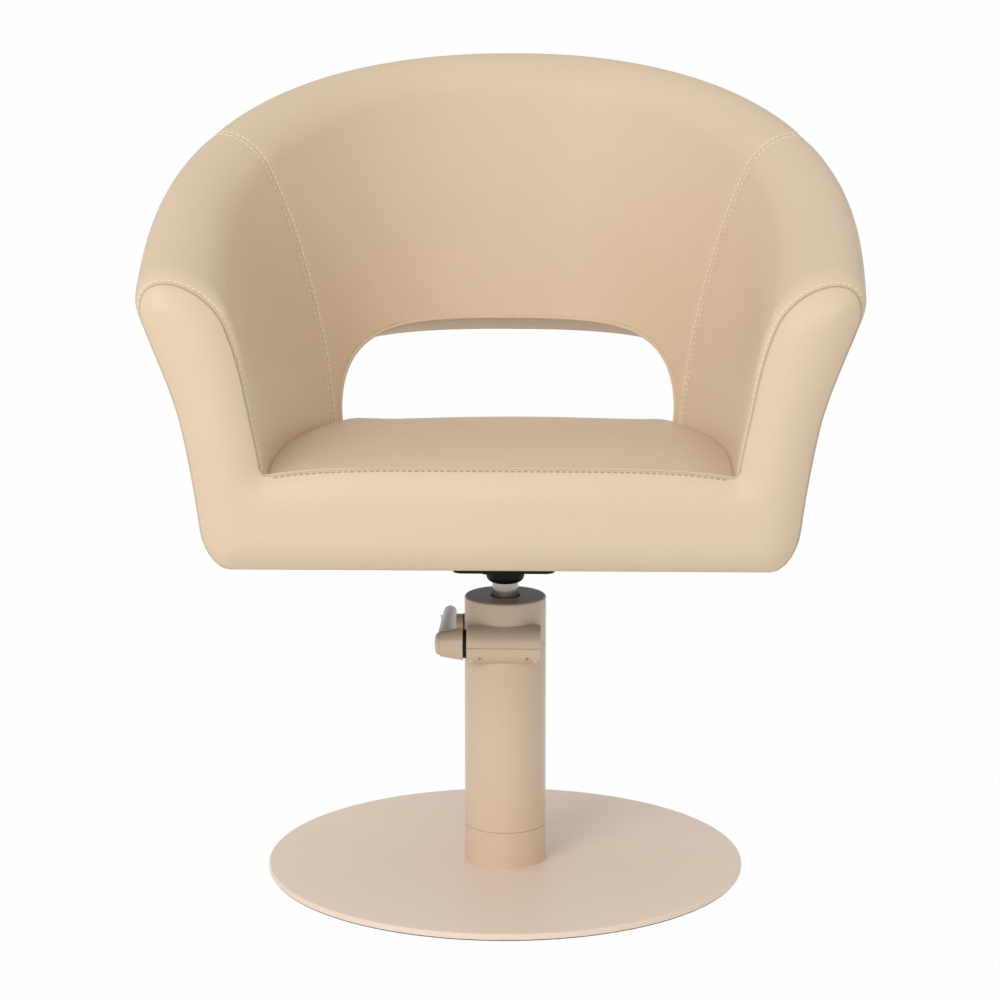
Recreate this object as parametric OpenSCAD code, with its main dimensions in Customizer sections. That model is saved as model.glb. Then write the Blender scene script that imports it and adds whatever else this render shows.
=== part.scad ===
// Hairdressing chair: an upholstered tub seat with an open back on a hydraulic column.
// Millimetres, Z up. The origin is the middle of the floor plate's underside.
// The front of the chair faces -Y. Left is -X and right is +X, as seen from the front.

/* [Floor plate] */
// Diameter of the floor plate
plate_d = 500; // [420:5:600]
// Thickness of the floor plate
plate_t = 6; // [5:0.5:10]
// Chamfer of its upper edge
plate_edge = 1.2; // [0.5:0.1:2]
// Thickness of the rubber sheet under it
floor_pad_t = 1; // [0.8:0.1:3]

/* [Column] */
// Outer diameter of the column
column_d = 85; // [82:1:92]
// Wall of its two sleeves
column_wall = 4; // [3:0.5:5]
// Height of the collar at its foot
collar_h = 39; // [30:1:60]
// Height of the column above the plate
column_h = 286; // [270:1:320]
// Height of the cast head at its top
head_h = 48.6; // [46:0.2:52]
// How far the head reaches down inside the sleeve
head_spigot_h = 30; // [26:1:40]
// Height of the foot inside the sleeves
foot_h = 54; // [46:1:70]
// Floor of the foot under the cylinder
foot_floor = 8; // [8:0.5:14]
// Chamfer of the edges that show
column_edge = 1.2; // [0.5:0.1:2]
// Open seam between two sleeves
sleeve_seam = 0.4; // [0.3:0.1:0.8]

/* [Hydraulic lift] */
// Diameter of the lifting rod, as a share of the column's
rod_share = 0.31765; // [0.3:0.0005:0.32]
// Bore of the cylinder, as a share of the column's diameter
bore_share = 0.37647; // [0.365:0.0005:0.4]
// Wall of the cylinder
cylinder_wall = 3; // [2.5:0.5:3]
// Height of the piston
piston_h = 16; // [12:1:20]
// Height of the piston above the cylinder's floor at rest
piston_rest = 45; // [40:1:55]
// Diameter of the rod's journal in the piston
journal_d = 18; // [14:1:20]
// Length of the guide bush in the head
gland_h = 28; // [24:1:32]
// Depth of the guide bush below the head's top
gland_recess = 3; // [2:0.5:4]
// Rod that shows between head and seat when it is down
rod_show = 14.5; // [8:0.5:30]

/* [Pump and lever] */
// Diameter of the lever's cross shaft
shaft_d = 12; // [10:0.5:13]
// Depth of the shaft below the column's top
axle_drop = 43; // [41:0.5:44]
// Space between the pump's barrel and the lift's cylinder
pump_gap = 2.024; // [1:0.1:3]
// Diameter of the shaft's housing
housing_d = 39.4; // [38:0.2:44]
// Reach of the housing to the left of the middle
housing_left = 39; // [38.5:0.5:44]
// Reach of the housing to the right of the middle
housing_right = 38; // [36:0.2:42]
// Reach of the finger that presses the pump
finger_reach = 12; // [11:0.2:12.4]
// Angle of the finger below level at rest
finger_angle = 20; // [16:1:22]
// Diameter of the pump's plunger
plunger_d = 8; // [6:0.5:8]
// Diameter of the hub's outer end
hub_small_d = 26.6; // [24:0.2:28]
// Diameter of the hub's inner end
hub_big_d = 34.6; // [32:0.2:38]
// Length of the hub
hub_l = 23.8; // [20:0.2:26]
// Thickness of the lever's arm
arm_t = 14; // [10:1:18]
// Width of the lever's arm at the pedal
arm_end_w = 35; // [30:1:40]
// Distance of the pedal behind the cross shaft
pedal_back = 176; // [150:1:200]
// Height of the pedal below the cross shaft
pedal_drop = 21; // [0:1:40]
// Length of the rubber grip
grip_l = 88.7; // [70:0.1:110]
// Diameter of the rubber grip
grip_d = 18; // [17:0.5:24]

/* [Seat mount] */
// Diameter of the socket on the rod
socket_d = 40; // [40:1:52]
// Height of the socket
socket_h = 26; // [24:0.5:34]
// Width of the bracket's web
bracket_w = 104; // [100:1:130]
// Depth of the bracket, front to back
bracket_l = 150; // [130:1:180]
// Thickness of the bracket's steel
bracket_t = 6; // [4:0.5:7]
// Height of the seat's underside above the web, at the rod
bracket_rise = 20.5; // [16:0.5:30]
// Width of the bracket's feet
bracket_foot_w = 28; // [26:1:34]
// Diameter of the bolts through the feet
bolt_d = 8; // [6:1:8]

/* [Seat box] */
// Fall of the seat's underside toward the back, per unit of depth
slope_share = 0.0733; // [0.05:0.0001:0.09]
// Distance of the seat frame's front from the rod
seat_front = 245; // [225:1:260]
// Thickness of the base board
board_t = 18; // [15:1:21]
// Height of the rails under the deck
rail_h = 24; // [20:1:30]
// Thickness of a rail
rail_t = 15; // [12:1:18]
// Distance of the deck's side rails from the middle
rail_x = 150; // [130:1:165]
// Thickness of the deck
deck_t = 12; // [9:1:15]
// Thickness of the frame panels in the walls
core_t = 12; // [9:1:15]
// Thickness of the dust cover
dust_t = 1; // [0.8:0.1:2]

/* [Tub wall] */
// Half width of the wall's middle surface at the bottom
low_half_w = 252; // [240:1:260]
// Widening from the bottom to the rim
lean = 34; // [20:1:50]
// Extra widening that grows toward the rim
flare = 36; // [20:1:50]
// Extra width of the rear corners at the rim
bulge = 28; // [10:1:40]
// Distance of the wall's back from the rod at the bottom
back_low = 205; // [190:1:220]
// Rearward lean of the back at the rim
back_lean = 78; // [60:1:95]
// Height of the arm's front above the underside
arm_h = 288; // [260:1:310]
// Height of the back above the underside
back_h = 486; // [440:1:520]
// Squareness of the plan at the bottom
low_corner_share = 2.8; // [2.5:0.05:3.1]
// Squareness of the plan at the rim
rim_corner_share = 2.4; // [2.2:0.05:2.7]
// Rise of the rim near the arms, as a share of its whole rise
rim_arm_share = 0.26; // [0.2:0.01:0.34]
// Rise of the rim near the back, as a share of its whole rise
rim_back_share = 0.65; // [0.55:0.01:0.72]

/* [Upholstery] */
// Thickness of the arms
arm_pad_t = 73; // [64:1:76]
// Thickness of the arms at the rim
arm_rim_t = 88; // [78:1:96]
// Thickness of the back
back_pad_t = 56; // [50:1:64]
// Height of the rounding along the rim
rim_round = 41; // [34:1:48]
// How far the cover is drawn in at the front seam
front_draw = 3; // [2:0.5:4]
// How far the covers are drawn in where arm and back meet
seam_draw = 2.5; // [1:0.5:4]
// Distance over which a cover is drawn in
draw_len = 14; // [10:1:20]
// How far the arm's rim dips at its front seam
tip_dip = 8; // [4:0.5:12]
// Distance over which it dips
tip_len = 22; // [14:1:30]
// Height of the rolled edge along the bottom
low_roll_h = 40; // [30:1:50]
// How far that edge still stands outside the wall's middle at the bottom
low_lip = 9; // [8.5:0.5:12]
// Height of the seat's front seam above the underside
seat_h = 98; // [92:1:106]
// How much more the sides of the seat stand above the underside at the back
seat_side_rise = 12; // [6:1:16]
// Drop of the seat's rear edge
seat_rear_drop = 18; // [10:1:24]
// Crown of the seat
seat_crown = 8; // [5:1:14]
// Depth of the front panel at its seams
panel_seam = 3; // [2.5:0.5:6]
// Crown of the front panel
panel_crown = 14; // [10:1:18]
// Height of the rear wall above the underside
rear_h = 92; // [84:1:98]
// Height of the rounding along the rear wall's top
rear_round = 22; // [16:1:28]
// Thickness of the strip that lines the opening
trim_t = 2; // [1.5:0.5:3]

/* [Opening in the back] */
// Angle of the opening's jamb, from the arm's front round to the back
jamb_angle = 46.2; // [45.8:0.1:48]
// Height of the opening's middle, as a share of the wall
open_mid_share = 0.24; // [0.22:0.005:0.26]
// Half height of the opening at the inner face, as a share of the wall
open_in_share = 0.188; // [0.16:0.002:0.2]
// Half height of the opening at the outer face, as a share of the wall
open_out_share = 0.152; // [0.13:0.001:0.16]
// Squareness of the opening
open_corner_share = 4.8; // [4:0.1:6]
// Angle of the seam between arm and back at the seat
seam_low_angle = 44; // [43:0.1:45]
// Angle of the same seam at the rim
seam_rim_angle = 35; // [32:0.1:40]

/* [Fits] */
// Radial clearance of a running fit
run_gap = 0.05; // [0.03:0.01:0.1]
// Radial clearance of a fixed fit
fit_gap = 0.2; // [0.1:0.05:0.3]
// Gap beside a soft piece
soft_gap = 0.3; // [0.3:0.1:0.8]

/* [Hidden] */
$fn = 64;

// Overrun of every cut
cut = 1;

// Colours
leather = [0.87, 0.76, 0.64];
paint = [0.83, 0.74, 0.64];
black = [0.08, 0.08, 0.08];
steel = [0.72, 0.72, 0.73];
pale_alloy = [0.84, 0.84, 0.83];
plywood = [0.78, 0.64, 0.44];
brass_tone = [0.72, 0.58, 0.32];

// Heights of the base
plate_r = plate_d / 2;
plate_top = floor_pad_t + plate_t;
collar_top = plate_top + collar_h;
column_top = plate_top + column_h;
head_bottom = column_top - head_h;
column_r = column_d / 2;
sleeve_r = column_r - column_wall;
spigot_bottom = head_bottom - head_spigot_h;
foot_bolt_d = 6;
foot_bolt_l = 16;
foot_bolt_count = 4;
cylinder_bore = column_d * bore_share;
cylinder_r = cylinder_bore / 2 + cylinder_wall;
foot_bolt_x = (sleeve_r + cylinder_r) / 2;

// Lift
rod_r = column_d * rod_share / 2;
cylinder_bottom = plate_top + foot_floor;
gland_step = 0.1;
gland_r = cylinder_r + gland_step;
gland_top = column_top - gland_recess;
gland_bottom = gland_top - gland_h;
wiper_t = 2;
wiper_r = rod_r + wiper_t;
wiper_h = 2 * wiper_t;
plug_h = 16;
plug_step = 1.5;
piston_r = cylinder_bore / 2 - run_gap;
piston_bottom = cylinder_bottom + piston_rest;
piston_top = piston_bottom + piston_h;
ring_h = 3;
ring_depth = 2;
journal_r = journal_d / 2;
clip_t = 1.6;
clip_depth = 1;
rod_tail = 2 * clip_t;
socket_bottom = column_top + rod_show;
socket_top = socket_bottom + socket_h;
socket_r = socket_d / 2;
socket_round = 8;
web_top = socket_top + bracket_t;
rod_top = web_top - fit_gap;

// Pump and lever
axle_z = column_top - axle_drop;
plunger_r = plunger_d / 2;
barrel_wall = 1.7;
barrel_r = plunger_r + barrel_wall;
pump_y = -cylinder_r - pump_gap - barrel_r;
axle_y = pump_y - finger_reach * cos(finger_angle);
shaft_r = shaft_d / 2;
housing_r = housing_d / 2;
housing_edge = 1;
bush_wall = 3;
bush_r = shaft_r + bush_wall;
bush_l = 11;
bush_mid_left = 25;
bush_mid_right = 24;
finger_w = 8;
nose_r = 3;
cavity_r = finger_reach + nose_r + 2.5 * fit_gap;
finger_ring_r = shaft_r + 1.8;
cavity_w = finger_w + nose_r;
shaft_clip_t = 1.2;
shaft_clip_r = bush_r - 2 * fit_gap;
shaft_right = bush_mid_right + bush_l / 2 + 3 * shaft_clip_t;
clip_x = bush_mid_right + bush_l / 2 + fit_gap;
end_wall = 3;
set_screw_r = 2.9;
set_screw_angle = 40;
set_screw_recess = 2.2;
cover_screw_r = 2;
cover_head_r = 3.5;
cover_screw_out = 12;
cover_screw_up = 8;
cover_recess = 9;
cover_head_h = 5.4;
split_gap = 0.5;
cover_screw_xs = [-bush_mid_left - 0.85 * bush_l, bush_mid_right + 0.8 * bush_l];
barrel_drop = 24;
barrel_top = axle_z - barrel_drop;
barrel_l = 24;
barrel_floor = 2;
seal_h = 1.5;
plunger_head_h = 3;
plunger_head_r = plunger_r + 1.5;
plunger_top = axle_z - finger_reach * sin(finger_angle) - nose_r - 2 * run_gap;
plunger_l = 28;
spring_well_r = plunger_head_r + 2.5 * fit_gap;
spring_wire = 1;
spring_turns = 4;
spring_steps = 12;
spring_sides = 6;
washer_t = 4;
washer_r = 15;
hub_in = housing_left + washer_t;
hub_out = hub_in + hub_l;
hub_wall = 3.8;
hub_screw_r = 3;
hub_head_r = 5;
hub_head_h = 3;
hub_screw_l = 12;
cap_r = 11.5;
cap_h = 5.7;
cap_wall = 1.8;
// Outline of the cap, as shares of its radius and of its height
cap_shares = [[0.93, 0.6], [0.7, 0.87]];
arm_in = hub_in + 13;
arm_out = arm_in + arm_t;
arm_hub_r = hub_small_d / 2;
arm_end_r = arm_end_w / 2;
pedal_y = axle_y + pedal_back;
pedal_z = axle_z - pedal_drop;
// Half width of a straight blade where it runs into its round end, as a share of the radius
blade_share = 0.97;
pin_r = 4;
pin_head_r = 7;
pin_head_h = 3;
sleeve_l = 7.3;
sleeve_d = 17.4;
sleeve_end = arm_in - sleeve_l;
grip_end = sleeve_end - grip_l;
grip_wall = 1.2;
socket_screw_r = 2.2;
socket_screw_out = 3;
socket_screw_z = socket_bottom + 9.5;

// Seat underside, a plane that falls toward the back
under_mid = web_top + bracket_rise;
tilt = atan(slope_share);
wall_depth = back_low + seat_front;
rim_front = plane_z(-seat_front) + arm_h;
rim_rear = plane_z(back_low) + back_h;
deck_low = board_t + rail_h;
deck_top = deck_low + deck_t;
// Heights above the underside, straight up
board_rise = board_t / cos(tilt) + fit_gap;
deck_rise = deck_top / cos(tilt);
bracket_bolt_x = bracket_w / 2 + bracket_foot_w / 2;
bracket_bolt_y = bracket_l / 2 - 20;
bracket_corner = 10;
bolt_r = bolt_d / 2;
bolt_head_r = 0.8 * bolt_d;
bolt_head_h = 0.65 * bolt_d;
nut_t = 1.5;
nut_r = 9;
nut_barrel_r = bolt_r + 1.2;
screw_r = 2.2;
screw_head_r = 4.4;
screw_l = board_t + 16;
front_rail_half = low_half_w - arm_pad_t / 2 - 12;
rail_end = back_low - 95;
rail_screw_ys = [-0.6 * seat_front, 0, rail_end - rail_t];
staple_l = 11;
staple_t = 0.9;
dust_inset = 3;
staple_in = 7;
// Share of an arm, from its front, that carries no staples
staple_from_share = 0.05;

// Upholstery: rows up a wall and stations round it
row_shares = [0, 0.02, 0.06, 0.13, 0.45, 0.72, 0.9];
round_angles = [0, 30, 55, 75];
rear_row_shares = [0, 0.07, 0.22, 0.55];
rear_round_angles = [0, 35, 68];
core_top_share = 0.3;
arm_shares = [0, 0.035, 0.1, 0.22, 0.36, 0.5, 0.63, 0.75, 0.85, 0.93, 0.975, 1];
arm_spread_share = 1.3;
lip_angles = [0, 14, 28, 42, 56, 68, 78, 85, 88.5, 90];
leg_gap_angle = 0.1;
rear_gap_angle = 0.3;
rear_angles = [for (p = lip_angles) 90 - (90 - jamb_angle) * pow(cos(p), 2 / open_corner_share)];
seam_bend_share = 0.4;
seam_curve_share = 1.25;
thick_from_share = 0.5;
thick_over_share = 0.32;
seam_gap_angle = 0.06;
draw_angle = 3;
core_half = core_t / 2;
slot_half = core_half + soft_gap;
rows_up = len(row_shares) + len(round_angles);
panel_row_shares = [0, 0.06, 0.2, 0.5, 0.8, 0.94, 1];
panel_seat_count = 10;
panel_corner = 8;
panel_tip_angles = [80, 65, 45, 22, 0];
panel_arm_shares = [0.9, 0.78, 0.66, 0.54];
panel_corner_shares = [0, 0.4, 0.65, 0.82, 0.93, 1];
panel_turn = 60;
crown_edge_share = 3;
trim_gap = 3.6 * soft_gap;
trim_row_shares = [0.06, 0.3, 0.5, 0.7, 0.94];
crown_power_share = 3;
rear_power_share = 6;

function lerp(a, b, s) = a + (b - a) * s;
function smooth(s) = let (t = min(1, max(0, s))) t * t * (3 - 2 * t);
function plane_z(y) = under_mid - slope_share * y;
function turned(list) = [for (i = [len(list) - 1:-1:0]) list[i]];

// Height of the rim where the wall's middle lies at the share v of its depth
function rim_z(v) =
    rim_front + (rim_rear - rim_front)
    * (3 * v * pow(1 - v, 2) * rim_arm_share + 3 * v * v * (1 - v) * rim_back_share + v * v * v)
    - tip_dip * pow(max(0, 1 - v * wall_depth / tip_len), 2);

// Angle a is 0 at the arm's front and 90 in the middle of the back, and past 90 on the left.
// Height h is 0 at the underside and 1 at the rim.
function fold(a) = a > 90 ? 180 - a : a;
function corner_of(h) = lerp(low_corner_share, rim_corner_share, h);
function depth_share(a, h) = pow(sin(fold(a)), 2 / corner_of(h));
function depth_of(h) = wall_depth + back_lean * h;
function wall_h(a) =
    let (v = depth_share(a, 1)) rim_z(v) - plane_z(v * depth_of(0) - seat_front);

// Point of the wall, off outward from its middle surface
function wall_point(a, h, off) =
    let (
        f = fold(a),
        n = corner_of(h),
        w = low_half_w + lean * h + flare * pow(h, 3) + bulge * h * sin(2 * f),
        v = depth_share(a, h),
        u = pow(cos(f), 2 / n),
        gx = pow(u, n - 1) / w,
        gy = pow(v, n - 1) / depth_of(h),
        g = norm([gx, gy]),
        x = w * u + off * gx / g,
        y = v * depth_of(h) - seat_front + off * gy / g
    )
    [a > 90 ? -x : x, y, lerp(plane_z(y), rim_z(v), h)];

// Angle of the seam between arm and back
function seam_angle(h) =
    let (t = max(0, (h - seam_bend_share) / (1 - seam_bend_share)))
    lerp(seam_low_angle, seam_rim_angle, pow(t, seam_curve_share));
function arm_angle(s, h) = asin(sin(seam_angle(h) - seam_gap_angle) * pow(s, arm_spread_share));
function back_angle(s, h) = 90 - (90 - seam_angle(h) - seam_gap_angle) * s;

// Half of the padded thickness, without the rounding of the rim
function full_half(a, h) =
    let (
        v = depth_share(a, h),
        up = smooth((h - thick_from_share) / thick_over_share),
        t = lerp(arm_pad_t, back_pad_t, v) + (arm_rim_t - arm_pad_t) * up * (1 - v),
        front = max(0, 1 - v * depth_of(h) / draw_len),
        seam = max(0, 1 - abs(fold(a) - seam_angle(h)) / draw_angle)
    )
    t / 2 - front_draw * (1 + up) * front * front - seam_draw * seam * seam;

// How far the outer skin is rolled in near the bottom
function low_roll(a, h) =
    let (t = max(0, 1 - h * wall_h(a) / low_roll_h))
    (full_half(a, h) - low_lip) * (1 - sqrt(1 - t * t));

// Rows of a section, as [height, share of the thickness], from the low edge up to the rounding
function up_rows(low, top, round_share, shares, angles) =
    let (r = top - round_share) concat(
        [for (s = shares) [lerp(low, r, s), 1]],
        [for (p = angles) [r + round_share * sin(p), cos(p)]]
    );

// Solid from closed loops: flip gives the second half of each loop the other diagonal, so
// that two skins that lie side by side fold along the same lines
module loop_solid(loops, flip) {
    n = len(loops);
    k = len(loops[0]);
    points = [for (l = loops) for (p = l) p];
    sides = [
        for (i = [0:n - 2]) for (j = [0:k - 1])
            let (a = i * k + j, b = i * k + (j + 1) % k, c = b + k, d = a + k)
                each (flip && j >= k / 2 ? [[a, b, d], [b, c, d]] : [[a, b, c], [a, c, d]])
    ];
    ends = [
        for (j = [0:k / 2 - 2])
            let (a = j, b = j + 1, c = k - 2 - j, d = k - 1 - j, e = (n - 1) * k)
                each [[a, c, b], [a, d, c], [e + a, e + b, e + c], [e + a, e + c, e + d]]
    ];
    polyhedron(points, concat(sides, ends), convexity = 6);
}

// Wall angle of a station: a share along the arm or round the back, or the angle itself
function station_angle(kind, s, h) =
    kind == "arm" ? arm_angle(s, h) : kind == "back" ? back_angle(s, h) : s;

// Skin of a section: up the outside, over the rounding and down the inside
function skin(kind, s, rows_out, rows_in, top) = concat(
    [for (r = rows_out) let (a = station_angle(kind, s, r[0]))
        wall_point(a, r[0], r[1] * full_half(a, r[0]) - low_roll(a, r[0]))],
    [wall_point(station_angle(kind, s, top), top, 0)],
    [for (r = turned(rows_in)) let (a = station_angle(kind, s, r[0]))
        wall_point(a, r[0], -r[1] * full_half(a, r[0]))]
);

// The same path along a frame panel, at the distance off from its middle
function slot_up(kind, s, low, top, count, off) = [
    for (j = [0:count - 1]) let (h = lerp(low, top, j / (count - 1)))
        wall_point(station_angle(kind, s, h), h, off)
];

// Loop of a padded cover that straddles a frame panel. Its low edges are given from the
// outside in: outer skin, panel's outer side, panel's inner side, inner skin.
function cover_loop(kind, s, lows, top, round_share, shares, angles) =
    let (
        count = len(shares) + len(angles),
        core_top = top - round_share * (1 - core_top_share),
        ridge = core_top + round_share * (1 - core_top_share) / len(angles) / 2
    )
    concat(
        skin(kind, s, up_rows(lows[0], top, round_share, shares, angles),
            up_rows(lows[3], top, round_share, shares, angles), top),
        slot_up(kind, s, lows[2], core_top, count, -slot_half),
        [wall_point(station_angle(kind, s, ridge), ridge, 0)],
        turned(slot_up(kind, s, lows[1], core_top, count, slot_half))
    );

// Loop of a frame panel that stands on the base board
function panel_loop(kind, s, out_low, in_low, top, round_share, shares, angles) =
    let (
        count = len(shares) + len(angles),
        core_top = top - round_share * (1 - core_top_share)
            - soft_gap / wall_h(station_angle(kind, s, top))
    )
    concat(
        slot_up(kind, s, out_low, core_top, count, core_half),
        turned(slot_up(kind, s, in_low, core_top, count, -core_half))
    );

// Height share that lies e above the underside
function share_at(a, e) =
    let (h = e / wall_h(a)) e / (rim_z(depth_share(a, h)) - plane_z(wall_point(a, h, 0)[1]));

// Stations of the back, as [share round the back, low edge outside, low edge inside]
back_half_stations = concat(
    [for (s = [1, (90 - jamb_angle + leg_gap_angle) / (90 - seam_low_angle)])
        [s, 0, share_at(back_angle(s, 0), board_rise)]],
    [for (p = lip_angles) [
        (90 - jamb_angle) * pow(cos(p), 2 / open_corner_share) / (90 - seam_low_angle),
        open_mid_share + open_out_share * sin(p),
        open_mid_share + open_in_share * sin(p)
    ]]
);
back_stations = concat(
    back_half_stations,
    [for (i = [len(back_half_stations) - 2:-1:0])
        let (b = back_half_stations[i]) [-b[0], b[1], b[2]]]
);

// Angles of the rear wall's stations, and of the seat's rear edge
rear_half_angles = concat(
    [jamb_angle + rear_gap_angle],
    [for (i = [2:len(rear_angles) - 1]) rear_angles[i]]
);
rear_stations = concat(
    rear_half_angles,
    [for (i = [len(rear_half_angles) - 2:-1:0]) 180 - rear_half_angles[i]]
);

// Point beside the inner face of the wall, e above the underside
function inner_edge(a, e, gap) =
    let (h = share_at(a, e), p = wall_point(a, h, -gap - full_half(a, h)))
    [p[0], p[1], plane_z(p[1]) + e];

// Outline of a board inside the wall, e above the underside, as seen square to the board
function board_outline(e, off, with_pad) =
    let (
        angles = concat([for (s = arm_shares) arm_angle(s, 0)], rear_stations,
            [for (s = turned(arm_shares)) 180 - arm_angle(s, 0)])
    )
    [for (a = angles)
        let (h = share_at(a, e), p = wall_point(a, h, off - (with_pad ? full_half(a, h) : 0)))
            [p[0], p[1] / cos(tilt) - e * tan(tilt)]];

// Draws its children on the seat's sloping underside
module on_plane() {
    translate([0, 0, under_mid]) rotate([-tilt, 0, 0]) children();
}

// Draws its children along X, with their Z axis pointing to the right
module along_x() {
    rotate([0, 90, 0]) children();
}

// Draws its children at the cross shaft
module at_axle() {
    translate([0, axle_y, axle_z]) children();
}

module ring(r_out, r_in, z0, z1) {
    translate([0, 0, z0]) difference() {
        cylinder(r = r_out, h = z1 - z0);
        translate([0, 0, -cut]) cylinder(r = r_in, h = z1 - z0 + 2 * cut);
    }
}

// Countersunk screw that points up from z = 0
module sunk_screw(r, head_r, l) {
    cylinder(r1 = head_r, r2 = r, h = head_r - r);
    cylinder(r = r, h = l);
}

module sunk_hole(r, head_r, l, gap) {
    translate([0, 0, -cut]) cylinder(r = head_r + gap, h = cut);
    cylinder(r1 = head_r + gap, r2 = r + gap, h = head_r - r);
    cylinder(r = r + gap, h = l);
}

module foot_bolt_places() {
    for (i = [0:foot_bolt_count - 1])
        rotate([0, 0, (i + 0.5) * 360 / foot_bolt_count])
            translate([foot_bolt_x, 0, floor_pad_t]) children();
}

module base_disc() {
    color(paint) difference() {
        rotate_extrude() polygon([
            [0, floor_pad_t], [plate_r - plate_edge / 2, floor_pad_t],
            [plate_r, floor_pad_t + plate_edge / 2], [plate_r, plate_top - plate_edge],
            [plate_r - plate_edge, plate_top], [0, plate_top]
        ]);
        foot_bolt_places() sunk_hole(foot_bolt_d / 2, foot_bolt_d, foot_bolt_l, fit_gap);
    }
}

module floor_pad() {
    color(black) cylinder(r = plate_r - plate_edge, h = floor_pad_t);
}

module column_foot() {
    color(steel) difference() {
        translate([0, 0, plate_top]) cylinder(r = sleeve_r - fit_gap, h = foot_h);
        translate([0, 0, cylinder_bottom]) cylinder(r = cylinder_r + fit_gap, h = foot_h);
        foot_bolt_places() cylinder(r = foot_bolt_d / 2 + fit_gap, h = foot_bolt_l + cut);
    }
}

module foot_bolts() {
    color(steel) foot_bolt_places() sunk_screw(foot_bolt_d / 2, foot_bolt_d, foot_bolt_l);
}

module column_collar() {
    color(paint) ring(column_r, sleeve_r, plate_top, collar_top);
}

module column_tube() {
    color(paint) difference() {
        ring(column_r, sleeve_r, collar_top + sleeve_seam, head_bottom - sleeve_seam);
        at_axle() along_x() cylinder(r = cavity_r + run_gap,
            h = 2 * (bush_mid_left + bush_l / 2 + fit_gap), center = true);
    }
}

module shaft_bores() {
    at_axle() along_x() {
        translate([0, 0, end_wall - housing_left]) cylinder(r = bush_r + run_gap,
            h = housing_left + housing_right - 2 * end_wall);
        translate([0, 0, -housing_left - cut]) cylinder(r = shaft_r + fit_gap, h = housing_left);
        cylinder(r = cavity_r, h = cavity_w, center = true);
    }
}

module cover_screw_places() {
    for (x = cover_screw_xs)
        translate([x, axle_y - cover_screw_out, axle_z - housing_r]) children();
}

module cover_screw_holes() {
    cover_screw_places() {
        translate([0, 0, -cut]) cylinder(r = cover_head_r + fit_gap, h = cut + cover_recess);
        cylinder(r = cover_screw_r + fit_gap, h = housing_r + cover_screw_up + fit_gap);
    }
}

module housing_body() {
    at_axle() along_x() translate([0, 0, -housing_left]) rotate_extrude() polygon([
        [0, 0], [housing_r - housing_edge, 0], [housing_r, housing_edge],
        [housing_r, housing_left + housing_right - housing_edge],
        [housing_r - housing_edge, housing_left + housing_right], [0, housing_left + housing_right]
    ]);
}

module column_head() {
    color(paint) difference() {
        union() {
            rotate_extrude() polygon([
                [0, spigot_bottom], [sleeve_r - fit_gap, spigot_bottom],
                [sleeve_r - fit_gap, head_bottom], [column_r, head_bottom],
                [column_r, column_top - column_edge], [column_r - column_edge, column_top],
                [0, column_top]
            ]);
            intersection() {
                housing_body();
                translate([-column_d, -column_d, axle_z]) cube([2 * column_d, column_d, housing_d]);
            }
        }
        translate([0, 0, spigot_bottom - cut])
            cylinder(r = cylinder_r + fit_gap, h = gland_bottom - spigot_bottom + cut);
        translate([0, 0, gland_bottom]) cylinder(r = gland_r + run_gap, h = gland_h);
        translate([0, 0, gland_top - cut])
            cylinder(r = wiper_r + fit_gap, h = gland_recess + 2 * cut);
        shaft_bores();
        cover_screw_holes();
        translate([0, pump_y, spigot_bottom - cut])
            cylinder(r = barrel_r + run_gap, h = barrel_top - spigot_bottom + cut);
        translate([0, pump_y, barrel_top]) cylinder(r = spring_well_r, h = axle_z - barrel_top);
    }
}

module set_screw_places() {
    for (x = [-bush_mid_left, bush_mid_right])
        at_axle() translate([x, 0, 0]) rotate([90 + set_screw_angle, 0, 0]) children();
}

module housing_cover() {
    color(paint) difference() {
        intersection() {
            housing_body();
            translate([-column_d, -column_d - housing_d, axle_z - housing_d - cut])
                cube([2 * column_d, column_d + housing_d, housing_d + cut - split_gap]);
        }
        translate([0, 0, axle_z - housing_d]) cylinder(r = column_r + fit_gap, h = 2 * housing_d);
        shaft_bores();
        cover_screw_holes();
        set_screw_places() cylinder(r = set_screw_r + run_gap, h = housing_d);
    }
}

module cover_screws() {
    color(paint) cover_screw_places() {
        translate([0, 0, cover_recess - cover_head_h])
            cylinder(r = cover_head_r, h = cover_head_h);
        translate([0, 0, cover_recess - cut])
            cylinder(r = cover_screw_r, h = housing_r + cover_screw_up - cover_recess + cut);
    }
}

module bush_screws() {
    color(paint) set_screw_places() translate([0, 0, bush_r + run_gap]) difference() {
        l = housing_r - bush_r - set_screw_recess;
        cylinder(r = set_screw_r, h = l);
        translate([0, 0, l / 2]) cylinder(r = set_screw_r / 2, h = l, $fn = 6);
    }
}

module cylinder_tube() {
    color(steel) ring(cylinder_r, cylinder_bore / 2, cylinder_bottom, gland_bottom);
}

module cylinder_plug() {
    color(steel) rotate_extrude() polygon([
        [0, cylinder_bottom], [piston_r, cylinder_bottom], [piston_r, cylinder_bottom + plug_h],
        [piston_r - plug_step, cylinder_bottom + plug_h + plug_step],
        [0, cylinder_bottom + plug_h + plug_step]
    ]);
}

module rod_gland() {
    color(brass_tone) difference() {
        ring(gland_r, rod_r + run_gap, gland_bottom, gland_top);
        translate([0, 0, gland_top - wiper_h / 2]) cylinder(r = wiper_r + run_gap, h = wiper_h);
    }
}

module rod_wiper() {
    color(black) ring(wiper_r, rod_r + run_gap, gland_top - wiper_h / 2, gland_top + wiper_h / 2);
}

module pump_barrel() {
    color(steel) translate([0, pump_y, 0]) difference() {
        translate([0, 0, barrel_top - barrel_l]) cylinder(r = barrel_r, h = barrel_l);
        translate([0, 0, barrel_top - barrel_l + barrel_floor])
            cylinder(r = plunger_r + run_gap, h = barrel_l);
    }
}

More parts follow.
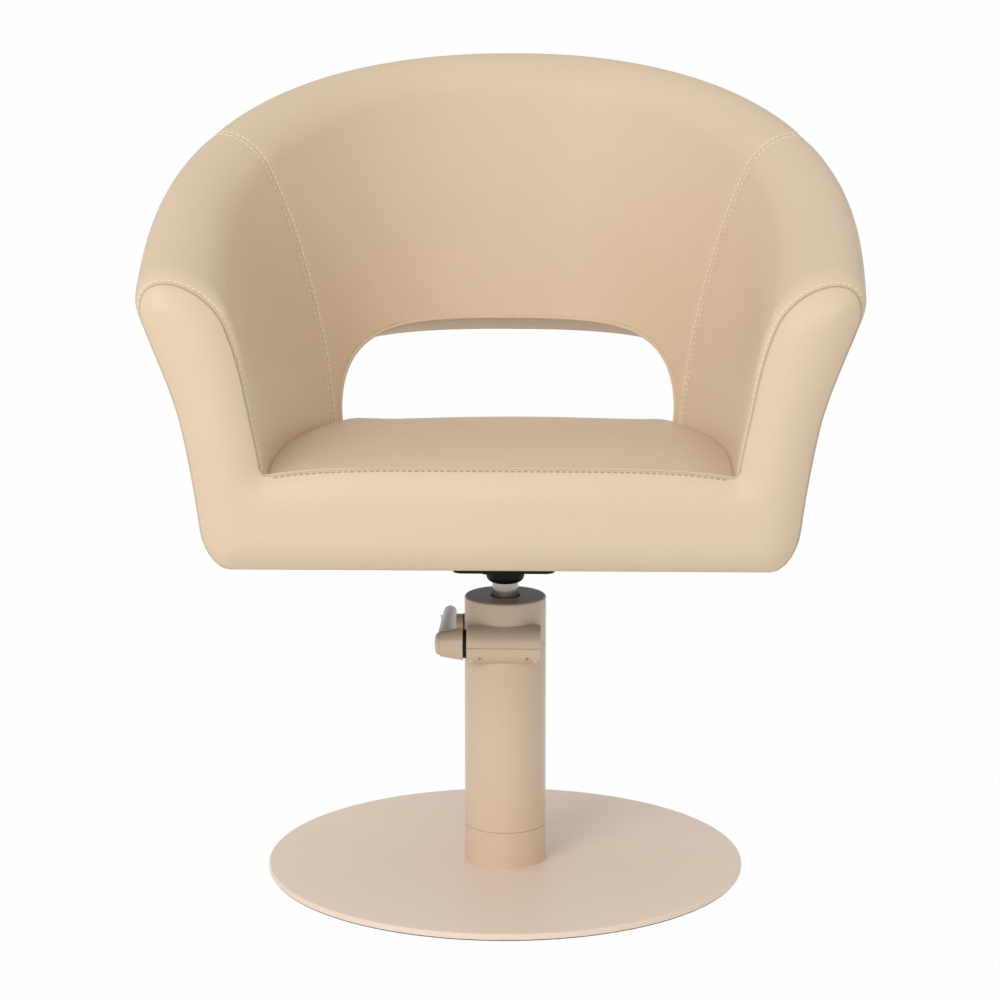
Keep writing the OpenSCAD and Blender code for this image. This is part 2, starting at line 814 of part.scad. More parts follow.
module pump_seal() {
    color(black) translate([0, pump_y, 0])
        ring(barrel_r - fit_gap, plunger_r + run_gap, barrel_top, barrel_top + seal_h);
}

module shaft_bushes() {
    color(brass_tone) at_axle() along_x()
        for (x = [-bush_mid_left, bush_mid_right])
            ring(bush_r, shaft_r + run_gap, x - bush_l / 2, x + bush_l / 2);
}

module piston() {
    color(steel) difference() {
        translate([0, 0, piston_bottom]) cylinder(r = piston_r, h = piston_h);
        translate([0, 0, piston_bottom - cut])
            cylinder(r = journal_r + run_gap, h = piston_h + 2 * cut);
        ring(piston_r + cut, piston_r - ring_depth, piston_bottom + piston_h / 2 - ring_h / 2,
            piston_bottom + piston_h / 2 + ring_h / 2);
    }
}

module piston_ring() {
    color(black) ring(cylinder_bore / 2 - run_gap / 2, piston_r - ring_depth + run_gap,
        piston_bottom + piston_h / 2 - ring_h / 2 + run_gap,
        piston_bottom + piston_h / 2 + ring_h / 2 - run_gap);
}

module piston_rod() {
    color(steel) rotate_extrude() polygon([
        [0, piston_bottom - fit_gap - rod_tail], [journal_r, piston_bottom - fit_gap - rod_tail],
        [journal_r, piston_bottom - fit_gap - clip_t],
        [journal_r - clip_depth, piston_bottom - fit_gap - clip_t],
        [journal_r - clip_depth, piston_bottom - fit_gap], [journal_r, piston_bottom - fit_gap],
        [journal_r, piston_top + run_gap], [rod_r, piston_top + run_gap],
        [rod_r, rod_top - column_edge], [rod_r - column_edge, rod_top], [0, rod_top]
    ]);
}

module rod_clip() {
    color(steel) ring(journal_r + 2 * clip_t, journal_r - clip_depth + run_gap,
        piston_bottom - fit_gap - clip_t + run_gap, piston_bottom - fit_gap - run_gap);
}

module pump_plunger() {
    color(steel) translate([0, pump_y, 0]) {
        translate([0, 0, plunger_top - plunger_head_h - plunger_l])
            cylinder(r = plunger_r, h = plunger_l + plunger_head_h);
        translate([0, 0, plunger_top - plunger_head_h])
            cylinder(r = plunger_head_r, h = plunger_head_h);
    }
}

spring_low = barrel_top + seal_h + spring_wire / 2 + run_gap;
spring_high = plunger_top - plunger_head_h - spring_wire / 2 - run_gap;
spring_r = plunger_r + 2 * run_gap + spring_wire / 2 + fit_gap;

module plunger_spring() {
    steps = spring_turns * spring_steps;
    points = [
        for (i = [0:steps]) for (k = [0:spring_sides - 1])
            let (
                a = i * 360 / spring_steps,
                b = k * 360 / spring_sides,
                r = spring_r + spring_wire / 2 * cos(b)
            )
            [r * cos(a), pump_y + r * sin(a),
                lerp(spring_low, spring_high, i / steps) + spring_wire / 2 * sin(b)]
    ];
    sides = [
        for (i = [0:steps - 1]) for (k = [0:spring_sides - 1])
            let (
                a = i * spring_sides + k, b = i * spring_sides + (k + 1) % spring_sides,
                c = b + spring_sides, d = a + spring_sides
            )
            each [[a, b, c], [a, c, d]]
    ];
    ends = [
        for (k = [1:spring_sides - 2]) let (e = steps * spring_sides)
            each [[0, k + 1, k], [e, e + k, e + k + 1]]
    ];
    color(steel) polyhedron(points, concat(sides, ends), convexity = 8);
}

module cross_shaft() {
    color(steel) at_axle() along_x() difference() {
        translate([0, 0, hub_wall - hub_out])
            cylinder(r = shaft_r, h = shaft_right + hub_out - hub_wall);
        ring(shaft_r + cut, shaft_r - clip_depth, clip_x, clip_x + shaft_clip_t);
        translate([0, 0, hub_wall - hub_out - cut])
            cylinder(r = hub_screw_r + run_gap, h = hub_screw_l + cut);
    }
}

module shaft_clip() {
    color(steel) at_axle() along_x()
        ring(shaft_clip_r, shaft_r - clip_depth + run_gap, clip_x + run_gap,
            clip_x + shaft_clip_t - run_gap);
}

module cam_finger() {
    color(steel) at_axle() rotate([-finger_angle, 0, 0]) rotate([90, 0, 90]) difference() {
        union() {
            cylinder(r = finger_ring_r, h = finger_w, center = true);
            translate([finger_reach, 0, 0]) cylinder(r = nose_r, h = finger_w, center = true);
            translate([0, 0, -finger_w / 2]) linear_extrude(finger_w) polygon([
                [0, blade_share * finger_ring_r], [finger_reach, blade_share * nose_r],
                [finger_reach, -blade_share * nose_r], [0, -blade_share * finger_ring_r]
            ]);
        }
        cylinder(r = shaft_r + run_gap, h = 2 * finger_w, center = true);
    }
}

module lever_hub() {
    color(paint) at_axle() along_x() difference() {
        translate([0, 0, -hub_out]) cylinder(r1 = hub_small_d / 2, r2 = hub_big_d / 2, h = hub_l);
        translate([0, 0, hub_wall - hub_out]) cylinder(r = shaft_r + run_gap, h = hub_l);
        translate([0, 0, -hub_out - cut]) cylinder(r = hub_screw_r + run_gap, h = hub_l);
    }
}

module hub_washer() {
    color(black) at_axle() along_x()
        ring(washer_r, shaft_r + run_gap, run_gap - hub_in, -housing_left - fit_gap);
}

module hub_screw() {
    color(steel) at_axle() along_x() {
        translate([0, 0, -hub_out - hub_head_h]) cylinder(r = hub_head_r, h = hub_head_h);
        translate([0, 0, -hub_out]) cylinder(r = hub_screw_r, h = hub_wall + hub_screw_l - cut);
    }
}

module hub_cap() {
    color(paint) at_axle() along_x() translate([0, 0, -hub_out]) rotate_extrude() polygon([
        [hub_head_r + fit_gap, 0], [cap_r, 0], [cap_r, -cap_wall],
        for (c = cap_shares) [c[0] * cap_r, -c[1] * cap_h],
        [0, -cap_h], [0, cap_wall - cap_h], [hub_head_r + fit_gap, cap_wall - cap_h]
    ]);
}

module lever_arm() {
    slant = atan2(-pedal_drop, pedal_back);
    l = norm([pedal_back, pedal_drop]);
    color(pale_alloy) difference() {
        at_axle() rotate([slant, 0, 0]) rotate([90, 0, 90]) translate([0, 0, -arm_out]) {
            translate([l, 0, 0]) cylinder(r = arm_end_r, h = arm_t);
            linear_extrude(arm_t) polygon([
                [0, arm_hub_r], [l, blade_share * arm_end_r],
                [l, -blade_share * arm_end_r], [0, -arm_hub_r]
            ]);
        }
        at_axle() along_x() {
            translate([0, 0, -hub_out]) cylinder(r1 = hub_small_d / 2 + run_gap,
                r2 = hub_big_d / 2 + run_gap, h = hub_l);
            translate([0, 0, -arm_out - cut])
                cylinder(r = hub_small_d / 2 + run_gap, h = arm_out + cut - hub_out);
        }
        translate([-arm_out - cut, pedal_y, pedal_z]) along_x()
            cylinder(r = pin_r + run_gap, h = arm_t + 2 * cut);
    }
}

module at_pedal() {
    translate([0, pedal_y, pedal_z]) along_x() children();
}

module pedal_pin() {
    color(steel) at_pedal() {
        translate([0, 0, -arm_out - pin_head_h]) cylinder(r = pin_head_r, h = pin_head_h);
        translate([0, 0, -arm_out])
            cylinder(r = pin_r, h = arm_out - grip_end - 2 * grip_wall);
    }
}

module pedal_sleeve() {
    color(paint) at_pedal() ring(sleeve_d / 2, pin_r + run_gap, -arm_in, -sleeve_end);
}

module pedal_grip() {
    color(black) at_pedal() difference() {
        translate([0, 0, -sleeve_end]) cylinder(r = grip_d / 2, h = grip_l);
        translate([0, 0, -sleeve_end - cut])
            cylinder(r = pin_r + run_gap, h = grip_l - grip_wall + cut);
    }
}

module seat_socket() {
    color(black) difference() {
        rotate_extrude() {
            translate([0, socket_bottom + socket_round])
                square([socket_r, socket_h - socket_round]);
            translate([0, socket_bottom]) square([socket_r - socket_round, socket_round]);
            translate([socket_r - socket_round, socket_bottom + socket_round])
                circle(r = socket_round);
        }
        translate([0, 0, socket_bottom - cut]) cylinder(r = rod_r + run_gap, h = socket_h + 2 * cut);
        translate([0, 0, socket_screw_z]) rotate([0, -90, 0])
            cylinder(r = socket_screw_r + run_gap, h = socket_r + cut);
    }
}

module socket_screw() {
    color(black) translate([-rod_r - 2 * run_gap, 0, socket_screw_z]) rotate([0, -90, 0])
        cylinder(r = socket_screw_r, h = socket_r - rod_r + socket_screw_out);
}

module bracket_bolt_places() {
    for (x = [-bracket_bolt_x, bracket_bolt_x]) for (y = [-bracket_bolt_y, bracket_bolt_y])
        translate([x, y, 0]) children();
}

module seat_bracket() {
    half_w = bracket_w / 2;
    half_l = bracket_l / 2;
    color(black) difference() {
        union() {
            translate([0, 0, socket_top]) linear_extrude(bracket_t) {
                square([bracket_w, bracket_l - 2 * bracket_corner], center = true);
                square([bracket_w - 2 * bracket_corner, bracket_l], center = true);
                for (x = [-1, 1]) for (y = [-1, 1])
                    translate([x * (half_w - bracket_corner), y * (half_l - bracket_corner)])
                        circle(r = bracket_corner);
            }
            for (x = [-half_w, half_w - bracket_t])
                translate([x, bracket_corner - half_l, socket_top])
                    cube([bracket_t, bracket_l - 2 * bracket_corner, 2 * bracket_rise + bracket_t]);
            on_plane() for (x = [-1, 1])
                translate([
                    x * (half_w + bracket_foot_w / 2 - bracket_t / 2), 0, -dust_t - bracket_t / 2])
                    cube([bracket_foot_w + bracket_t, bracket_l - 2 * bracket_corner, bracket_t],
                        center = true);
        }
        on_plane() translate([-bracket_w, -bracket_l, -dust_t])
            cube([2 * bracket_w, 2 * bracket_l, 2 * bracket_rise + bracket_t]);
        on_plane() bracket_bolt_places() translate([0, 0, -dust_t - 2 * bracket_t])
            cylinder(r = bolt_r + fit_gap, h = 2 * bracket_t + dust_t + cut);
        translate([0, 0, socket_top - cut]) cylinder(r = rod_r + fit_gap, h = bracket_t + 2 * cut);
    }
}

module bracket_bolts() {
    color(steel) on_plane() bracket_bolt_places() {
        translate([0, 0, -dust_t - bracket_t - bolt_head_h])
            cylinder(r = bolt_head_r, h = bolt_head_h, $fn = 6);
        translate([0, 0, -dust_t - bracket_t]) cylinder(r = bolt_r, h = dust_t + bracket_t + board_t);
    }
}

module tee_nuts() {
    color(steel) on_plane() bracket_bolt_places() difference() {
        union() {
            translate([0, 0, board_t / 2]) cylinder(r = nut_barrel_r, h = board_t / 2);
            translate([0, 0, board_t]) cylinder(r = nut_r, h = nut_t);
        }
        cylinder(r = bolt_r + run_gap, h = board_t + nut_t + cut);
    }
}

module frame_screw_places() {
    for (x = [-rail_x, rail_x]) for (y = rail_screw_ys) translate([x, y, 0]) children();
    for (x = [-1, 1]) translate([x * front_rail_half / 2, rail_t / 2 - seat_front / cos(tilt), 0])
        children();
}

module seat_board() {
    color(plywood) on_plane() difference() {
        linear_extrude(board_t)
            polygon(board_outline(0, core_half - 2 * soft_gap - board_t * tan(tilt), false));
        bracket_bolt_places() {
            translate([0, 0, -cut]) cylinder(r = bolt_r + fit_gap, h = board_t + 2 * cut);
            translate([0, 0, board_t / 2 - fit_gap])
                cylinder(r = nut_barrel_r + run_gap, h = board_t);
        }
        frame_screw_places() sunk_hole(screw_r, screw_head_r, screw_l, run_gap);
    }
}

module front_rail() {
    color(plywood) on_plane() difference() {
        translate([-front_rail_half, -seat_front / cos(tilt), board_t])
            cube([2 * front_rail_half, rail_t, rail_h]);
        frame_screw_places() cylinder(r = screw_r + run_gap, h = screw_l + fit_gap);
    }
}

module deck_rails() {
    front = -seat_front / cos(tilt) + rail_t;
    color(plywood) on_plane() difference() {
        for (x = [-rail_x, rail_x])
            translate([x - rail_t / 2, front, board_t]) cube([rail_t, rail_end - front, rail_h]);
        frame_screw_places() cylinder(r = screw_r + run_gap, h = screw_l + fit_gap);
    }
}

module frame_screws() {
    color(steel) on_plane() frame_screw_places() sunk_screw(screw_r, screw_head_r, screw_l);
}

module seat_deck() {
    color(plywood) on_plane() translate([0, 0, deck_low]) linear_extrude(deck_t)
        polygon(board_outline(deck_low, -4 * soft_gap, true));
}

module side_panel() {
    low = [for (s = arm_shares) share_at(arm_angle(s, 0), board_rise)];
    color(plywood) loop_solid([
        for (i = [0:len(arm_shares) - 1])
            let (s = arm_shares[i], r = share_at(arm_angle(s, 1), rim_round))
                panel_loop("arm", s, low[i], low[i], 1, r, row_shares, round_angles)
    ], false);
}

module side_panel_right() {
    side_panel();
}

module side_panel_left() {
    mirror([1, 0, 0]) side_panel();
}

// Low edges of the back at the station b, from the outer face in, with the panel's faces off
// either side of the middle
function back_lows(b, off) = b[1] > 0
    ? [b[1], lerp(b[1], b[2], 0.5 - off / back_pad_t), lerp(b[1], b[2], 0.5 + off / back_pad_t), b[2]]
    : [b[1], b[1], b[2], b[2]];

module back_band() {
    color(plywood) loop_solid([
        for (b = back_stations)
            let (
                r = share_at(back_angle(b[0], 1), rim_round),
                lows = back_lows(b, core_half)
            )
            panel_loop("back", b[0], b[1] > 0 ? lows[1] : b[2], lows[2], 1, r, row_shares,
                round_angles)
    ], false);
}

module rear_rail() {
    color(plywood) loop_solid([
        for (a = rear_stations)
            let (
                low = share_at(a, board_rise),
                top = share_at(a, rear_h),
                r = share_at(a, rear_round)
            )
            panel_loop("rear", a, low, low, top, r, rear_row_shares, rear_round_angles)
    ], false);
}

module arm_cover() {
    color(leather) loop_solid([
        for (s = arm_shares)
            let (
                low = share_at(arm_angle(s, 0), board_rise),
                r = share_at(arm_angle(s, 1), rim_round)
            )
            cover_loop("arm", s, [0, 0, low, low], 1, r, row_shares, round_angles)
    ], true);
}

module right_arm_cover() {
    arm_cover();
}

module left_arm_cover() {
    mirror([1, 0, 0]) arm_cover();
}

module back_cover() {
    color(leather) loop_solid([
        for (b = back_stations)
            cover_loop("back", b[0], back_lows(b, slot_half), 1,
                share_at(back_angle(b[0], 1), rim_round), row_shares, round_angles)
    ], true);
}

module rear_cover() {
    color(leather) loop_solid([
        for (a = rear_stations)
            let (low = share_at(a, board_rise))
            cover_loop("rear", a, [0, 0, low, low], share_at(a, rear_h), share_at(a, rear_round),
                rear_row_shares, rear_round_angles)
    ], true);
}

// Millimetres of wall to one degree at the jamb
jamb_arc = norm(
    wall_point(jamb_angle + 1, open_mid_share, 0) - wall_point(jamb_angle, open_mid_share, 0));

// Line across the opening's edge, inset from it, at the angle p round its upper half
function lip_line(p, left, inset) = [
    for (s = trim_row_shares)
        let (
            half = lerp(open_in_share, open_out_share, s) - inset / wall_h(90),
            low = share_at(jamb_angle, rear_h + 2 * soft_gap),
            f = 90
                - (90 - jamb_angle - inset / jamb_arc) * pow(cos(max(0, p)), 2 / open_corner_share),
            h = p < 0 ? low : open_mid_share + half * sin(p),
            a = left ? 180 - f : f
        )
        wall_point(a, h, lerp(-1, 1, s) * full_half(a, h))
];

module opening_trim() {
    // The value below zero stands for the foot of the jamb
    angles = concat([-1], lip_angles);
    color(leather) loop_solid([
        for (i = [0:2 * len(angles) - 2])
            let (left = i >= len(angles), p = angles[left ? 2 * len(angles) - 2 - i : i])
            concat(lip_line(p, left, trim_gap + trim_t), turned(lip_line(p, left, trim_gap)))
    ], true);
}

// Edges of the front panel, as [outer, inner] points in X and Z, from the left arm's top to the
// middle of the seat's front
function arm_face_x(h, side) =
    wall_point(0, h, side * full_half(0, h) - (side > 0 ? low_roll(0, h) : 0))[0];
function face_z(h) = lerp(plane_z(-seat_front), rim_z(0), h);
panel_half_edges = let (
        r = share_at(0, rim_round),
        seat_share = share_at(0, seat_h),
        top_share = share_at(0, seat_h + panel_corner),
        x_in = arm_face_x(top_share, -1),
        z_in = face_z(seat_share)
    )
    concat(
        [for (p = panel_tip_angles) let (h = 1 - r + r * sin(p), k = cos(p) * full_half(0, h),
                m = wall_point(0, h, 0)[0])
            [[-m - k, face_z(h)], [k - m, face_z(h)]]],
        [for (s = panel_arm_shares) let (h = s * (1 - r))
            [[-arm_face_x(h, 1), face_z(h)], [-arm_face_x(h, -1), face_z(h)]]],
        [for (s = panel_corner_shares) let (h = lerp(top_share, 0, s))
            [[-arm_face_x(h, 1), face_z(h)],
                [-x_in + panel_corner * (1 - cos(panel_turn * s)),
                    z_in + panel_corner * (1 - sin(panel_turn * s))]]],
        [for (i = [0:panel_seat_count / 2])
            let (x = lerp(panel_corner - x_in, 0, 2 * i / panel_seat_count))
                [[x, face_z(0)], [x, z_in]]]
    );
panel_edges = concat(
    panel_half_edges,
    [for (i = [len(panel_half_edges) - 2:-1:0]) let (e = panel_half_edges[i])
        [[-e[0][0], e[0][1]], [-e[1][0], e[1][1]]]]
);

module front_panel() {
    face = -seat_front - panel_seam;
    color(leather) loop_solid([
        for (e = panel_edges) concat(
            [for (s = panel_row_shares) let (
                    p = lerp(e[0], e[1], s),
                    wide = min(1, norm(e[1] - e[0]) / arm_pad_t)
                )
                [p[0], face - wide * panel_crown
                    * (1 - pow(abs(1 - 2 * s), crown_edge_share)), p[1]]],
            [for (s = turned(panel_row_shares)) let (p = lerp(e[0], e[1], s))
                [p[0], -seat_front - soft_gap, p[1]]]
        )
    ], true);
}

// Seat: rows from front to back and columns from left to right, filled in from the four edges
seat_side_angles = concat([for (s = arm_shares) arm_angle(s, 0)], [rear_stations[0]]);
seat_rows = len(seat_side_angles);
seat_columns = len(rear_stations);
function seat_side(i, e) = inner_edge(seat_side_angles[i], e, 2 * soft_gap);
function seat_rear(j, e) = inner_edge(rear_stations[seat_columns - 1 - j], e, 2 * soft_gap);
function seat_edge_h(v, u) =
    seat_h + seat_side_rise * v - seat_rear_drop * pow(v, rear_power_share) * sin(180 * u);

function seat_point(i, j, top) =
    let (
        u = j / (seat_columns - 1),
        front = seat_side(0, top ? seat_h : deck_rise),
        corner = seat_side(seat_rows - 1, top ? seat_h + seat_side_rise : deck_rise),
        y_share = (seat_side(i, deck_rise)[1] - front[1]) / (corner[1] - front[1]),
        v = min(1, max(0, y_share)),
        side = seat_side(i, top ? seat_edge_h(v, 0) : deck_rise),
        rear = seat_rear(j, top ? seat_edge_h(1, u) : deck_rise),
        left = [-side[0], side[1]],
        right = [side[0], side[1]],
        x = lerp(-front[0], front[0], u) * (1 - v) + rear[0] * v + lerp(left[0], right[0], u)
            - (lerp(-front[0], front[0], u) * (1 - v) + lerp(-corner[0], corner[0], u) * v),
        y = front[1] * (1 - v) + rear[1] * v + side[1] - lerp(front[1], corner[1], v),
        crown = seat_crown * (1 - pow(abs(2 * u - 1), crown_power_share))
            * (1 - pow(abs(2 * v - 1), crown_power_share))
    )
    [x, y, plane_z(y) + (top ? seat_edge_h(v, u) + crown : deck_rise + soft_gap)];

module seat_cushion() {
    color(leather) loop_solid([
        for (j = [0:seat_columns - 1]) concat(
            [for (i = [0:seat_rows - 1]) seat_point(i, j, true)],
            [for (i = [seat_rows - 1:-1:0]) seat_point(i, j, false)]
        )
    ], true);
}

module dust_cover() {
    color(black) on_plane() difference() {
        translate([0, 0, -dust_t]) linear_extrude(dust_t)
            polygon(board_outline(0, low_lip - dust_inset, false));
        bracket_bolt_places() translate([0, 0, -2 * dust_t])
            cylinder(r = bolt_r + fit_gap, h = 3 * dust_t);
    }
}

module staple_at(p, q) {
    translate([p[0], p[1] / cos(tilt), -dust_t - staple_t / 2])
        rotate([0, 0, atan2(q[1] - p[1], q[0] - p[0])])
            cube([staple_l, staple_t, staple_t], center = true);
}

module dust_staples() {
    angles = concat([for (s = arm_shares) if (s > staple_from_share) arm_angle(s, 0)], rear_stations,
        [for (s = turned(arm_shares)) if (s > staple_from_share) 180 - arm_angle(s, 0)]);
    color(steel) on_plane() for (i = [0:2:len(angles) - 1]) {
        off = low_lip - staple_in;
        staple_at(wall_point(angles[i], 0, off), wall_point(angles[i] + 1, 0, off));
    }
}

base_disc();
floor_pad();
column_foot();
foot_bolts();
column_collar();
column_tube();
column_head();
housing_cover();
cover_screws();
bush_screws();
cylinder_tube();  // cylinder
cylinder_plug();
rod_gland();
rod_wiper();
pump_barrel();
pump_seal();
shaft_bushes();
piston();
piston_ring();
pump_plunger();
plunger_spring();
cross_shaft();
shaft_clip();
cam_finger();
lever_hub();
hub_cap();
hub_screw();
hub_washer();
lever_arm();
pedal_pin();
pedal_sleeve();
pedal_grip();
piston_rod();
rod_clip();
seat_socket();
socket_screw();
seat_bracket();
bracket_bolts();
tee_nuts();
seat_board();
front_rail();
deck_rails();
frame_screws();
seat_deck();
side_panel_left();
side_panel_right();
back_band();
rear_rail();
left_arm_cover();
right_arm_cover();
back_cover();
opening_trim();
rear_cover();
front_panel();
seat_cushion();
dust_cover();
dust_staples();
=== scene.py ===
"""Looks of the hairdressing chair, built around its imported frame.

Sizes are millimetres in the same axes as the frame, and turn into metres when a mesh is made.
The chair's front faces -Y, its left side is at -X as seen from the front.
"""

import logging
import math
from dataclasses import dataclass, field
from enum import Enum
from typing import Any, Sequence

import bpy
import numpy as np
from mathutils import Euler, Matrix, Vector


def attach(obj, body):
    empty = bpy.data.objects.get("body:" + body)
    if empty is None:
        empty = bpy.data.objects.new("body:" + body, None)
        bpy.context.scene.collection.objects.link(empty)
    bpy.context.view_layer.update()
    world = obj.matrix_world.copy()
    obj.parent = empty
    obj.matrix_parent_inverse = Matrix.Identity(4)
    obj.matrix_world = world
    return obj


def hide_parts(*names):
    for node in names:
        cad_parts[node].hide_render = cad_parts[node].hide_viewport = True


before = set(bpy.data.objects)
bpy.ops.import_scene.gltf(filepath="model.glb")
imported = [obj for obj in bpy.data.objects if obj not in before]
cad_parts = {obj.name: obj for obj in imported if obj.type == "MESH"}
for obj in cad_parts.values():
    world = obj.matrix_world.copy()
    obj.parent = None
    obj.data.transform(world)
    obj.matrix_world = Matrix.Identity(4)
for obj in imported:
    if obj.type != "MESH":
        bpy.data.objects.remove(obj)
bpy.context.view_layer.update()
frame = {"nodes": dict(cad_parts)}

LOG = logging.getLogger("chair")
MM = 0.001
SEAT, LEVER = "seat", "lever"
TINY = 1e-9

Array = np.ndarray
Triple = tuple[float, float, float]
Colour = tuple[float, float, float]


class Side(Enum):
    """Side of the chair, as the sign of X."""

    LEFT = -1
    RIGHT = 1


class End(Enum):
    """End of a grid's rows that a distance is measured from."""

    FIRST = 0
    LAST = 1


# Numbers and lines


def bell(x: Array, middle: float, width: float) -> Array:
    """Smooth hump: e to the minus square of the distance from the middle over the width."""
    return np.exp(-(((x - middle) / width) ** 2))


def smooth(x: Array) -> Array:
    """Smooth step from 0 to 1: 3 t squared less 2 t cubed."""
    t = np.clip(x, 0, 1)
    return t * t * (3 - 2 * t)


def unit(vectors: Array) -> Array:
    """Vectors at a length of 1, along the last axis."""
    return vectors / np.maximum(np.linalg.norm(vectors, axis=-1, keepdims=True), TINY)


def run_along(line: Array) -> Array:
    """Distance of each point of a line from its start, measured along it."""
    return np.concatenate([[0], np.cumsum(np.linalg.norm(np.diff(line, axis=0), axis=1))])


def read_along(values: Array, run: Array, at: Array | float) -> Array:
    """Values at places along a line, each column interpolated between its points.

    Args:
        values: one row a point of the line.
        run: distance of each point along the line.
        at: distances to read at.

    Returns:
        One row a place.
    """
    return np.stack([np.interp(at, run, column) for column in values.T], axis=-1)


def resample(line: Array, count: int) -> Array:
    """A line's points again, at equal steps along it."""
    run = run_along(line)
    return read_along(line, run, np.linspace(0, run[-1], count))


def between(count: int) -> Array:
    """Angles of a quarter turn in equal steps, without 0 and 90 themselves."""
    return np.linspace(0, 90, count + 1)[1:-1]


def two_waves(x: Array, y: Array, lengths: tuple[float, float, float, float]) -> Array:
    """Two long waves: the sine of x and y over two lengths, plus that of y less x over two."""
    a, b, c, d = lengths
    return np.sin(x / a + y / b) + np.sin(y / c - x / d)


@dataclass(frozen=True)
class Spacing:
    """How stations spread over a length: close together at both ends, wider between them.

    The spacing is fine in the first and last zones, and from there grows with the distance from
    them until it is step.
    """

    total: float
    first: float
    last: float
    step: float
    fine: float
    growth: float = 0.14
    samples: int = 4000

    def shares(self) -> Array:
        """Growing shares of the length, from 0 to 1."""
        at = np.linspace(0, self.total, self.samples)
        zone = np.minimum(np.maximum(at - self.first, 0), np.maximum(self.total - at - self.last, 0))
        spacing = np.minimum(self.step, self.fine + zone * self.growth)
        count = np.concatenate([[0], np.cumsum(np.diff(at) / spacing[1:])])
        places = np.linspace(0, count[-1], int(count[-1]) + 1)
        return np.interp(places, count, at) / self.total


# Meshes


def grid_quads(rows: int, columns: int, ring: bool = False) -> Array:
    """Quads of a grid of points, row by row.

    Args:
        rows: number of rows.
        columns: points in a row.
        ring: joins each row's last point to its first.

    Returns:
        Corner indices, one row a quad.
    """
    i = np.arange(rows - 1)[:, None]
    j = np.arange(columns if ring else columns - 1)[None, :]
    k = (j + 1) % columns
    corners = (i * columns + j, i * columns + k, (i + 1) * columns + k, (i + 1) * columns + j)
    return np.stack([np.broadcast_to(c, corners[0].shape).ravel() for c in corners], axis=1)


def grid_normals(points: Array) -> Array:
    """Unit normals of a grid, one a point: its direction along rows cross that along columns."""
    return unit(np.cross(np.gradient(points, axis=0), np.gradient(points, axis=1)))


def lengths_along(points: Array, end: End) -> Array:
    """Distance of each grid point from one end of the rows, measured down its column.

    Args:
        points: grid of points.
        end: the end that has distance zero.

    Returns:
        Distances, rows by columns.
    """
    steps = np.linalg.norm(np.diff(points, axis=0), axis=2)
    total = np.concatenate([np.zeros((1, steps.shape[1])), np.cumsum(steps, axis=0)])
    return total if end is End.FIRST else total[-1:] - total


def make_piece(
    name: str,
    points: Array,
    quads: Array,
    fans: Sequence[Array] = (),
    shades: dict[str, Array] | None = None,
) -> bpy.types.Object:
    """Object of a mesh, with its place in its mesh and its faces turned outwards.

    Args:
        name: name of the piece.
        points: corner points in millimetres.
        quads: corner indices of its quads.
        fans: corner indices of larger faces.
        shades: values a point that its material reads, by name.

    Returns:
        The new object.
    """
    points = points.reshape(-1, 3)
    a, b, c, d = (points[quads[:, k]] for k in range(4))
    middle = points.mean(axis=0)
    volume = np.einsum("ij,ij->i", a - middle, np.cross(b - middle, c - middle)).sum()
    volume += np.einsum("ij,ij->i", a - middle, np.cross(c - middle, d - middle)).sum()
    for fan in fans:
        first = points[fan[0]] - middle
        rest = points[fan[1:]] - middle
        volume += (first * np.cross(rest[:-1], rest[1:])).sum()
    turn = slice(None, None, -1 if volume < 0 else 1)
    faces = [quads[:, turn].ravel()] + [np.asarray(fan)[turn] for fan in fans]
    sizes = np.concatenate([np.full(len(quads), 4), [len(fan) for fan in fans]]).astype(int)
    mesh = bpy.data.meshes.new(name)
    mesh.vertices.add(len(points))
    mesh.vertices.foreach_set("co", (points * MM).astype(np.float32).ravel())
    mesh.loops.add(int(sizes.sum()))
    mesh.loops.foreach_set("vertex_index", np.concatenate(faces).astype(np.int32))
    mesh.polygons.add(len(sizes))
    starts = np.concatenate([[0], np.cumsum(sizes)[:-1]])
    mesh.polygons.foreach_set("loop_start", starts.astype(np.int32))
    mesh.polygons.foreach_set("use_smooth", np.ones(len(sizes), bool))
    mesh.update(calc_edges=True)
    for key, values in (shades or {}).items():
        layer = mesh.attributes.new(key, "FLOAT", "POINT")
        layer.data.foreach_set("value", np.asarray(values, np.float32).ravel())
    mesh.validate()
    piece = bpy.data.objects.new(name, mesh)
    bpy.context.scene.collection.objects.link(piece)
    return piece


def loops_piece(
    name: str, points: Array, shades: dict[str, Array] | None = None, curved_ends: bool = False
) -> bpy.types.Object:
    """Closed solid from a grid whose rows are closed loops, with a face at each end.

    Args:
        name: name of the piece.
        points: grid of points, one closed loop a row.
        shades: values a point that its material reads.
        curved_ends: an end is a ladder of faces from the loop's first half to its second one.

    Returns:
        The new object.
    """
    rows, columns = points.shape[:2]
    quads = grid_quads(rows, columns, ring=True)
    last = (rows - 1) * columns
    if curved_ends:
        i = np.arange(columns // 2 - 1)
        rungs = np.stack([i, i + 1, columns - 2 - i, columns - 1 - i], axis=1)
        quads = np.concatenate([quads, rungs[:, ::-1], rungs + last])
        return make_piece(name, points, quads, [], shades)
    ends = [np.arange(columns)[::-1], last + np.arange(columns)]
    return make_piece(name, points, quads, ends, shades)


# Form of the padded wall


def fold(angle: Array) -> Array:
    """Angle round the wall from the nearer arm's front, the same for left and right."""
    return np.where(angle > 90, 180 - angle, angle)


